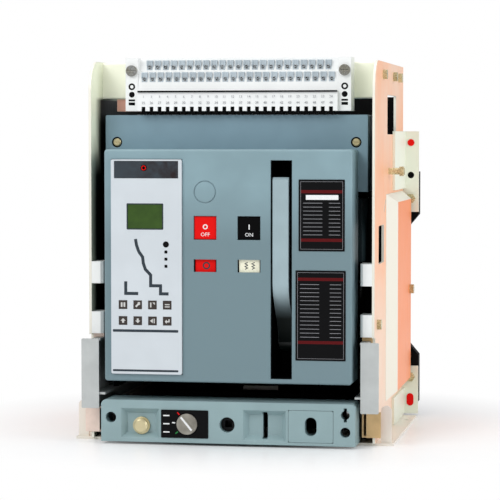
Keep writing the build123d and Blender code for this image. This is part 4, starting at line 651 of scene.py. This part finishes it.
def add_ring(work, cx, cz, outer, inner, y_rear, proud, sides=32):
    """Add a flat ring that stands proud of a front face."""
    loops = []
    for y, radius in ((y_rear, outer), (y_rear - proud, outer), (y_rear - proud, inner), (y_rear, inner)):
        loops.append([work.verts.new((x, y, z)) for x, z in circle_points(cx, cz, radius, sides)])
    for near, far in zip(loops, loops[1:] + loops[:1]):
        join_loops(work, near, far)


def standing_text(words, height, x, y, z):
    """Raised lettering on a front face, as a mesh with its place in its vertices."""
    curve = bpy.data.curves.new("lettering", "FONT")
    curve.body = words
    curve.size = height
    curve.align_x = "CENTER"
    curve.align_y = "CENTER"
    curve.extrude = HAIR
    curve.resolution_u = 2
    holder = add_object("lettering", curve)
    bpy.context.view_layer.update()
    mesh = bpy.data.meshes.new_from_object(holder.evaluated_get(bpy.context.evaluated_depsgraph_get()))
    bpy.data.objects.remove(holder)
    for vertex in mesh.vertices:
        across, up, out = vertex.co
        vertex.co = (across + x, y - out, up + z)
    return mesh


def join_meshes(name, meshes, finish, body):
    """One finished piece out of several meshes, which are used up."""
    work = bmesh.new()
    for mesh in meshes:
        work.from_mesh(mesh)
        bpy.data.meshes.remove(mesh)
    return mesh_object(name, work, finish, body)


def fillister_screw(radius, height, slot):
    """One slotted screw head, facing -Y, as a small mesh object for the node tree to repeat."""
    work = bmesh.new()
    sides = 14
    loops = []
    for y, reach in ((0.0, radius), (-height * 0.7, radius), (-height, radius * 0.82)):
        loops.append([work.verts.new((x, y, z)) for x, z in circle_points(0.0, 0.0, reach, sides)])
    for near, far in zip(loops, loops[1:]):
        join_loops(work, near, far)
    work.faces.new(loops[0])
    floor_y = -height + slot
    ridge = radius * 0.16
    slot_reach = radius * 0.8
    top = loops[-1]
    upper = [v for v in top if v.co.z > ridge * 0.5]
    lower = [v for v in top if v.co.z < -ridge * 0.5]
    slot_ends = [v for v in top if abs(v.co.z) <= ridge * 0.5]
    for half_loop, sign in ((upper, 1), (lower, -1)):
        half_loop.sort(key=lambda v: sign * -v.co.x)
        end = work.verts.new((sign * slot_reach, -height, sign * ridge))
        start = work.verts.new((-sign * slot_reach, -height, sign * ridge))
        work.faces.new([start, *half_loop, end])
        deep_end = work.verts.new((sign * slot_reach, floor_y, sign * ridge))
        deep_start = work.verts.new((-sign * slot_reach, floor_y, sign * ridge))
        work.faces.new([start, end, deep_end, deep_start])
    for vertex in slot_ends:
        vertex.co.y = floor_y
    return shape_object("screw_pattern", work)


def clamp_pattern(width, height, base, lip):
    """One terminal clamp: a base with two sloping lips beside its wire mouth, for the node tree to repeat."""
    work = bmesh.new()
    half = width / 2
    add_prism(work, rectangle(-half, half, -height / 2, height / 2), 0.0, base, 0.0004)
    for side in (-1, 1):
        outline = [(side * half, height / 2), (side * half * 0.6, height / 2),
                   (side * half * 0.6, height * 0.05), (side * half, -height * 0.1)]
        add_prism(work, outline if side < 0 else list(reversed(outline)), 0.0, base + lip, 0.0002)
    return shape_object("clamp_pattern", work)


def row_tree():
    """Geometry Nodes: repeat a pattern along a straight row, with a small seeded turn for each."""
    group = bpy.data.node_groups.new("row_of_small_parts", "GeometryNodeTree")
    for name, kind in (("Pattern", "Object"), ("Count", "Int"), ("Start", "Vector"), ("Pitch", "Float"),
                       ("Turn", "Float"), ("Finish", "Material")):
        group.interface.new_socket(name, in_out="INPUT", socket_type="NodeSocket" + kind)
    group.interface.new_socket("Geometry", in_out="OUTPUT", socket_type="NodeSocketGeometry")
    tree = NodeTree(group)
    entry = tree.node("NodeGroupInput").outputs
    step = tree.node("ShaderNodeCombineXYZ", {"X": entry["Pitch"]})
    line = tree.node("GeometryNodeMeshLine", {
        "Count": entry["Count"], "Start Location": entry["Start"], "Offset": step.outputs[0]}, mode="OFFSET")
    pattern = tree.node("GeometryNodeObjectInfo", {"Object": entry["Pattern"]})
    least = tree.node("ShaderNodeMath", {0: entry["Turn"], 1: -1.0}, operation="MULTIPLY")
    angle = tree.node("FunctionNodeRandomValue", {2: least.outputs[0], 3: entry["Turn"], "Seed": SEED})
    turn = tree.node("ShaderNodeCombineXYZ", {"Y": angle.outputs[1]})
    placed = tree.node("GeometryNodeInstanceOnPoints", {
        "Points": line.outputs[0], "Instance": pattern.outputs["Geometry"], "Rotation": turn.outputs[0]})
    real = tree.node("GeometryNodeRealizeInstances", {0: placed.outputs[0]})
    paint = tree.node("GeometryNodeSetMaterial", {"Geometry": real.outputs[0], "Material": entry["Finish"]})
    tree.node("NodeGroupOutput", {0: paint.outputs[0]})
    return group


def bake_row(name, tree, values, body):
    """Run the row tree with these inputs and keep the result as a plain mesh piece."""
    holder = add_object(name, bpy.data.meshes.new(name + "_start"))
    modifier = holder.modifiers.new("row", "NODES")
    modifier.node_group = tree
    for item in tree.interface.items_tree:
        if item.in_out == "INPUT" and item.name in values:
            modifier[item.identifier] = values[item.name]
    bpy.context.view_layer.update()
    graph = bpy.context.evaluated_depsgraph_get()
    mesh = bpy.data.meshes.new_from_object(holder.evaluated_get(graph))
    holder.modifiers.clear()
    holder.data = mesh
    mesh.name = name
    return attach(holder, body)


# Operators

class BREAKER_OT_finishes(bpy.types.Operator):
    """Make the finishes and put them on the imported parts"""
    bl_idname = "breaker.finishes"
    bl_label = "Finishes"

    def execute(self, context):
        FINISHES.clear()
        FINISHES.update(make_finishes())
        for finish, nodes in NODE_FINISHES.items():
            for node in nodes:
                set_finish(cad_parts[node], finish)
        bare = [n for n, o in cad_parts.items() if o.data.materials[0] not in FINISHES.values()]
        if bare:
            raise RuntimeError(f"no finish for {bare}")
        return {"FINISHED"}


class BREAKER_OT_closing_springs(bpy.types.Operator):
    """A copy of the closing springs with a mesh of its own, which rides on the breaker"""
    bl_idname = "breaker.closing_springs"
    bl_label = "Closing springs"

    def execute(self, context):
        coils = add_object("closing_spring_coils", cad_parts["closing_springs"].data.copy())
        set_finish(coils, "dark_steel")
        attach(coils, "breaker")
        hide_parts("closing_springs")
        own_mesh(coils)
        return {"FINISHED"}


class BREAKER_OT_terminal_screws(bpy.types.Operator):
    """Clamps and screws in the two rows of the terminal block"""
    bl_idname = "breaker.terminal_screws"
    bl_label = "Terminal screws"

    def execute(self, context):
        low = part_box("terminal_block")[0]
        middle = middle_and_face("terminal_block")[0]
        size = sizes()
        screw_lift = 0.0020
        screw_drop = 0.0022
        screw = fillister_screw(size.screw_radius, height=0.003, slot=0.001)
        tree = row_tree()
        for level, count, depth, height, base in TERMINAL_ROWS:
            clamp = clamp_pattern(width=0.0072, height=0.0118, base=base, lip=0.0012)
            x = middle - (count - 1) / 2 * size.terminal_pitch
            y = low.y + depth
            z = low.z + height
            for kind, pattern, place, turn, finish in (
                    ("clamps", clamp, (x, y, z), 0.0, "clamp"),
                    ("screws", screw, (x, y - base + screw_lift, z - screw_drop), 0.5, "steel")):
                piece = bake_row(f"{level}_terminal_{kind}", tree, {
                    "Pattern": pattern, "Count": count, "Start": place, "Pitch": size.terminal_pitch,
                    "Turn": turn, "Finish": FINISHES[finish]}, "cradle")
            bpy.data.objects.remove(clamp)
        bpy.data.objects.remove(screw)
        return {"FINISHED"}


class BREAKER_OT_terminal_numbers(bpy.types.Operator):
    """Plain numbers under the two rows of terminals, with painted shade in the block's seam and recesses"""
    bl_idname = "breaker.terminal_numbers"
    bl_label = "Terminal numbers"

    def execute(self, context):
        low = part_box("terminal_block")[0]
        middle = middle_and_face("terminal_block")[0]
        size = sizes()
        count = 24
        meshes = []
        for index in range(count):
            x = middle + (index - (count - 1) / 2) * size.terminal_pitch
            for first, height in ((1, 0.0165), (count + 1, 0.0095)):
                meshes.append(standing_text(str(index + first), size.number_height, x, low.y - HAIR / 2,
                                            low.z + height))
        join_meshes("terminal_numbers", meshes, "grey_ink", "cradle")
        # Black marks in the seam and recesses: painted shade
        marks = bmesh.new()
        corner = 0.0004
        reach, depth = 0.1175, 0.0022
        seam = rounded_outline(middle - reach, middle + reach, low.z + 0.0218, low.z + 0.0237, corner)
        add_prism(marks, seam, low.y + depth, depth + HAIR)
        ear_x, ear_depth, half = 0.1255, 0.006, 0.0038
        face = low.y + ear_depth
        for side in (-1, 1):
            x = middle + side * ear_x
            add_prism(marks, circle_points(x, low.z + 0.0193, 0.0034), face, HAIR)
            for foot, height in ((0.0115, 0.0022), (0.0068, 0.0034)):
                z = low.z + foot
                add_prism(marks, rounded_outline(x - half, x + half, z, z + height, corner), face, HAIR)
            add_ring(marks, x, low.z + 0.0285, 0.0040, 0.0020, face, HAIR, 24)
        mesh_object("terminal_block_recesses", marks, "painted_hole_shade", "cradle")
        return {"FINISHED"}


class BREAKER_OT_trip_unit_print(bpy.types.Operator):
    """Printed curve, lamps and screen frame of the trip unit, painted shade in its seams, and rings of
    painted shade at the screws
    """
    bl_idname = "breaker.trip_unit_print"
    bl_label = "Trip unit print"

    def execute(self, context):
        width = sizes().stroke
        strokes = [stroke_outline([(x / 1000, z / 1000) for x, z in points], width)
                   for points in (TRIP_CURVE, TRIP_CORNER)]
        flat_marks("trip_unit_curve", strokes, PANEL, "ink", "breaker")
        # Black strokes in the panel's seams: painted shade in its gaps
        low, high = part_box("tinted_window")
        heights = ((0.132, 0.003), (0.086, 0.0024))
        seam_shade = [rounded_outline(low.x - 0.002, high.x, z - height / 2, z + height / 2, 0.0008)
                 for z, height in heights]
        flat_marks("trip_unit_seams", seam_shade, PANEL, "ink", "breaker")
        low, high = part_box("display_screen")
        edge = 0.0012
        sides = frame_outlines(low.x, high.x, low.z, high.z, edge)
        flat_marks("display_frame", sides, PANEL, "ink", "breaker")
        lamp_x, round_z, round_radius = -0.0706, 0.2318, 0.0034
        half_width, half_height, corner = 0.0017, 0.0016, 0.0003
        lamps = [circle_points(lamp_x, round_z, round_radius)]
        for z in (0.2231, 0.2149, 0.2067):
            lamps.append(rounded_outline(lamp_x - half_width, lamp_x + half_width, z - half_height,
                                         z + half_height, corner))
        flat_marks("lamp_lenses", lamps, PANEL, "plate_black", "breaker")
        x, z, face = middle_and_face("reset_button")
        work = bmesh.new()
        add_ring(work, x, z, 0.0028, 0.0019, face, HAIR)
        mesh_object("reset_ring", work, "red", "reset_button")
        # Black rings in the hood screws' bores: painted shade
        work = bmesh.new()
        screw_x, screw_z, head_height, ring_height = 0.1415, 0.3488, 0.0028, 0.0012
        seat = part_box("hood_screws")[0].y + head_height
        for side in (-1, 1):
            add_ring(work, side * screw_x, screw_z, 0.0061, 0.0047, seat, ring_height)
        mesh_object("hood_screw_rings", work, "black", "breaker")
        return {"FINISHED"}


class BREAKER_OT_key_symbols(bpy.types.Operator):
    """Generic arrow and bar symbols on the keys"""
    bl_idname = "breaker.key_symbols"
    bl_label = "Key symbols"

    def execute(self, context):
        first_x, column_pitch = -0.1213, 0.01735
        first_z, row_pitch = 0.162, 0.0184
        placed = []
        for (row, column), outlines in KEY_SYMBOLS.items():
            cx = first_x + column * column_pitch
            cz = first_z - row * row_pitch
            for outline in outlines:
                placed.append([(cx + x * 0.001, cz + z * 0.001) for x, z in outline])
        flat_marks("key_symbols", placed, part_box("keys_and_lamps")[0].y, "key_ink", "breaker")
        return {"FINISHED"}


class BREAKER_OT_button_symbols(bpy.types.Operator):
    """I and O symbols and words on the push buttons, and marks on the flags"""
    bl_idname = "breaker.button_symbols"
    bl_label = "Button symbols"

    def execute(self, context):
        x_off, z, face = middle_and_face("off_button")
        x_on = middle_and_face("on_button")[0]
        ring = bmesh.new()
        add_ring(ring, x_off, z + 0.0012, 0.0029, 0.0017, face, HAIR)
        mesh_object("off_symbol", ring, "white_ink", "off_button")
        bar = rounded_outline(x_on - 0.0006, x_on + 0.0006, z - 0.0017, z + 0.0041, 0.0003)
        flat_marks("on_symbol", [bar], face, "white_ink", "on_button")
        word_height, word_drop = 0.0062, 0.0078
        for word, x in (("off", x_off), ("on", x_on)):
            lettering = standing_text(word.upper(), word_height, x, face - HAIR / 2, z - word_drop)
            join_meshes(word + "_word", [lettering], "white_ink", word + "_button")
        x, _, face = middle_and_face("contact_indicator")
        ring = bmesh.new()
        add_ring(ring, x + 0.001, 0.2076, 0.0043, 0.0027, face, HAIR)
        mesh_object("open_mark", ring, "ink", "contact_indicator")
        x, _, face = middle_and_face("charge_indicator")
        half, bottom, rise, bends = 0.0016, 0.2038, 0.0016, 6
        strokes = []
        for offset in (-0.0035, 0.0045):
            zigzag = [(x + offset + (half if bend % 2 else -half), bottom + bend * rise)
                      for bend in range(bends)]
            strokes.append(stroke_outline(zigzag, 0.0009))
        flat_marks("spring_mark", strokes, face, "ink", "charge_indicator")
        return {"FINISHED"}


class BREAKER_OT_bare_plates(bpy.types.Operator):
    """Blank rating plates: empty ruled rows and plain bands, with no words"""
    bl_idname = "breaker.bare_plates"
    bl_label = "Bare plates"

    def execute(self, context):
        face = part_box("nameplates")[0].y
        edge = 0.0022
        frame_width, rule_width = 0.0003, 0.0005
        band_half = 0.0018
        rules = []
        bands = bmesh.new()
        for x0, x1, z0, z1, upper_band, lower_band, top, rows in BARE_PLATES:
            rules += frame_outlines(x0 + edge, x1 - edge, z0 + edge, z1 - edge, frame_width)
            for z in (upper_band, lower_band):
                add_prism(bands, rounded_outline(x0 + edge, x1 - edge, z - band_half, z + band_half, 0.0003),
                          face, HAIR / 2)
            bottom = lower_band + 0.006
            columns = ((x0 + 0.005, x0 + 0.027), (x1 - 0.018, x1 - 0.005))
            for row in range(rows):
                z = bottom + (top - bottom) * row / (rows - 1)
                rules += [stroke_outline([(start, z), (end, z)], rule_width) for start, end in columns]
        flat_marks("plate_rules", rules, face, "grey_ink", "breaker")
        blank = rounded_outline(0.0912, 0.1284, 0.2838, 0.2892, 0.0004)
        flat_marks("blank_field", [blank], face, "white_ink", "breaker")
        mesh_object("plate_bands", bands, "dark_red_ink", "breaker")
        return {"FINISHED"}


class BREAKER_OT_position_marks(bpy.types.Operator):
    """Tick marks round the position indicator and a pointer on its knob"""
    bl_idname = "breaker.position_marks"
    bl_label = "Position marks"

    def execute(self, context):
        cx, cz, knob_face = middle_and_face("position_indicator")
        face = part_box("position_label")[0].y
        tick_width = 0.0014
        connected = math.radians(130)
        for name, angle, finish in (("connected_tick", connected, "red"),
                                    ("test_tick", math.radians(175), "white_ink"),
                                    ("disconnected_tick", math.radians(220), "green_ink")):
            ends = [on_circle(cx, cz, radius, angle) for radius in (0.0138, 0.0175)]
            flat_marks(name, [stroke_outline(ends, tick_width)], face, finish, "cradle")
        ticks = [stroke_outline([(cx - 0.0278, z), (cx - 0.0205, z)], tick_width)
                 for z in (cz + 0.0095, cz, cz - 0.0095)]
        flat_marks("position_ticks", ticks, face, "white_ink", "cradle")
        pointer = [on_circle(cx, cz, -0.0092, connected), on_circle(cx, cz, 0.0105, connected)]
        flat_marks("knob_pointer", [stroke_outline(pointer, 0.0022)], knob_face, "white_ink",
                   "position_indicator")
        return {"FINISHED"}


class BREAKER_OT_stage(bpy.types.Operator):
    """Pale floor, soft light and the camera"""
    bl_idname = "breaker.stage"
    bl_label = "Studio"

    def execute(self, context):
        studio = context.scene.breaker_studio
        floor = bpy.data.meshes.new("studio_floor")
        reach = 6.0
        floor.from_pydata([(-reach, -reach, 0), (reach, -reach, 0), (reach, reach, 0), (-reach, reach, 0)],
                          [], [(0, 1, 2, 3)])
        floor.materials.append(self.floor_material())
        add_object("studio_floor", floor)
        self.world(context.scene, studio.light)
        aim = Vector((0, 0, 0.2))
        for name, place, size, power in STUDIO_LIGHTS:
            light = bpy.data.lights.new(name, "AREA")
            light.size = size
            light.energy = power * studio.light
            lamp = add_object(name, light)
            lamp.location = place
            lamp.rotation_euler = (aim - Vector(place)).to_track_quat("-Z", "Y").to_euler()
        self.camera(context.scene, studio)
        context.scene.view_settings.view_transform = "Standard"
        return {"FINISHED"}

    def floor_material(self):
        """Nearly white floor near the breaker, which fades to plain white light farther out."""
        look = Shader("studio_floor")
        fine = look.noise(6, 2)
        look.give("Base Color", look.mix(look.span(fine, 0.3, 0.7), (0.93, 0.93, 0.935), (0.95, 0.95, 0.95)))
        look.give("Roughness", look.span(fine, 0.3, 0.7, 0.28, 0.34))
        light = look.node("ShaderNodeEmission", {"Color": (1, 1, 1)})
        path = look.node("ShaderNodeLightPath").outputs
        distance = look.node("ShaderNodeVectorMath", {0: look.place}, operation="LENGTH")
        fade_start, fade_end = 0.20, 0.42
        far = look.span(distance.outputs["Value"], fade_start, fade_end)
        seen = look.maths("MAXIMUM", path["Is Camera Ray"], path["Is Glossy Ray"])
        blend = look.node("ShaderNodeMixShader", {
            0: look.times(far, seen), 1: look.surface.outputs[0], 2: light.outputs[0]})
        look.fill(look.output.inputs["Surface"], blend.outputs[0])
        return look.material

    def world(self, scene, strength):
        """Soft light from all round, behind which the camera sees plain white."""
        scene.world = bpy.data.worlds.new("studio_world")
        scene.world.use_nodes = True
        tree = NodeTree(scene.world.node_tree)
        soft = tree.node("ShaderNodeBackground", {"Color": (0.97, 0.98, 1.0), "Strength": 0.62 * strength})
        white = tree.node("ShaderNodeBackground", {"Color": (1, 1, 1), "Strength": 1.0})
        path = tree.node("ShaderNodeLightPath").outputs
        seen = tree.node("ShaderNodeMath", {0: path["Is Camera Ray"], 1: path["Is Transmission Ray"]},
                         operation="MAXIMUM")
        blend = tree.node("ShaderNodeMixShader", {
            0: seen.outputs[0], 1: soft.outputs[0], 2: white.outputs[0]})
        tree.node("ShaderNodeOutputWorld", {"Surface": blend.outputs[0]})

    def camera(self, scene, studio):
        camera = bpy.data.cameras.new("studio_camera")
        camera.sensor_width = 36
        camera.lens = studio.lens
        camera.clip_start = 0.1
        camera.clip_end = 50
        turn, rise = studio.azimuth, studio.elevation
        back = Vector((math.sin(turn) * math.cos(rise), -math.cos(turn) * math.cos(rise), math.sin(rise)))
        target = Vector((0.0268, FRONT, 0.22616))
        holder = add_object("studio_camera", camera)
        holder.location = target + back * studio.distance
        holder.rotation_euler = (-back).to_track_quat("-Z", "Y").to_euler()
        scene.camera = holder


STEPS = (
    BREAKER_OT_finishes,
    BREAKER_OT_closing_springs,
    BREAKER_OT_terminal_screws,
    BREAKER_OT_terminal_numbers,
    BREAKER_OT_trip_unit_print,
    BREAKER_OT_key_symbols,
    BREAKER_OT_button_symbols,
    BREAKER_OT_bare_plates,
    BREAKER_OT_position_marks,
    BREAKER_OT_stage,
)


class BREAKER_PT_panel(bpy.types.Panel):
    """Sizes, colours and steps of the breaker"""
    bl_idname = "BREAKER_PT_panel"
    bl_label = "Air circuit breaker"
    bl_space_type = "VIEW_3D"
    bl_region_type = "UI"
    bl_category = "Breaker"

    def draw(self, context):
        for group in (context.scene.breaker_colours, context.scene.breaker_sizes,
                      context.scene.breaker_studio):
            column = self.layout.column()
            for name in group.__annotations__:
                column.prop(group, name)
        for step in STEPS:
            self.layout.operator(step.bl_idname)


GROUPS = (
    (BreakerColours, "breaker_colours"),
    (BreakerSizes, "breaker_sizes"),
    (BreakerStudio, "breaker_studio"),
)


def register():
    for group, name in GROUPS:
        bpy.utils.register_class(group)
        setattr(bpy.types.Scene, name, bpy.props.PointerProperty(type=group))
    for step in STEPS:
        bpy.utils.register_class(step)
    bpy.utils.register_class(BREAKER_PT_panel)


def unregister():
    bpy.utils.unregister_class(BREAKER_PT_panel)
    for step in reversed(STEPS):
        bpy.utils.unregister_class(step)
    for group, name in reversed(GROUPS):
        delattr(bpy.types.Scene, name)
        bpy.utils.unregister_class(group)


def main():
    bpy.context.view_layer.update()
    register()
    for step in STEPS:
        family, action = step.bl_idname.split(".")
        getattr(getattr(bpy.ops, family), action)()


if __name__ == "__main__":
    main()
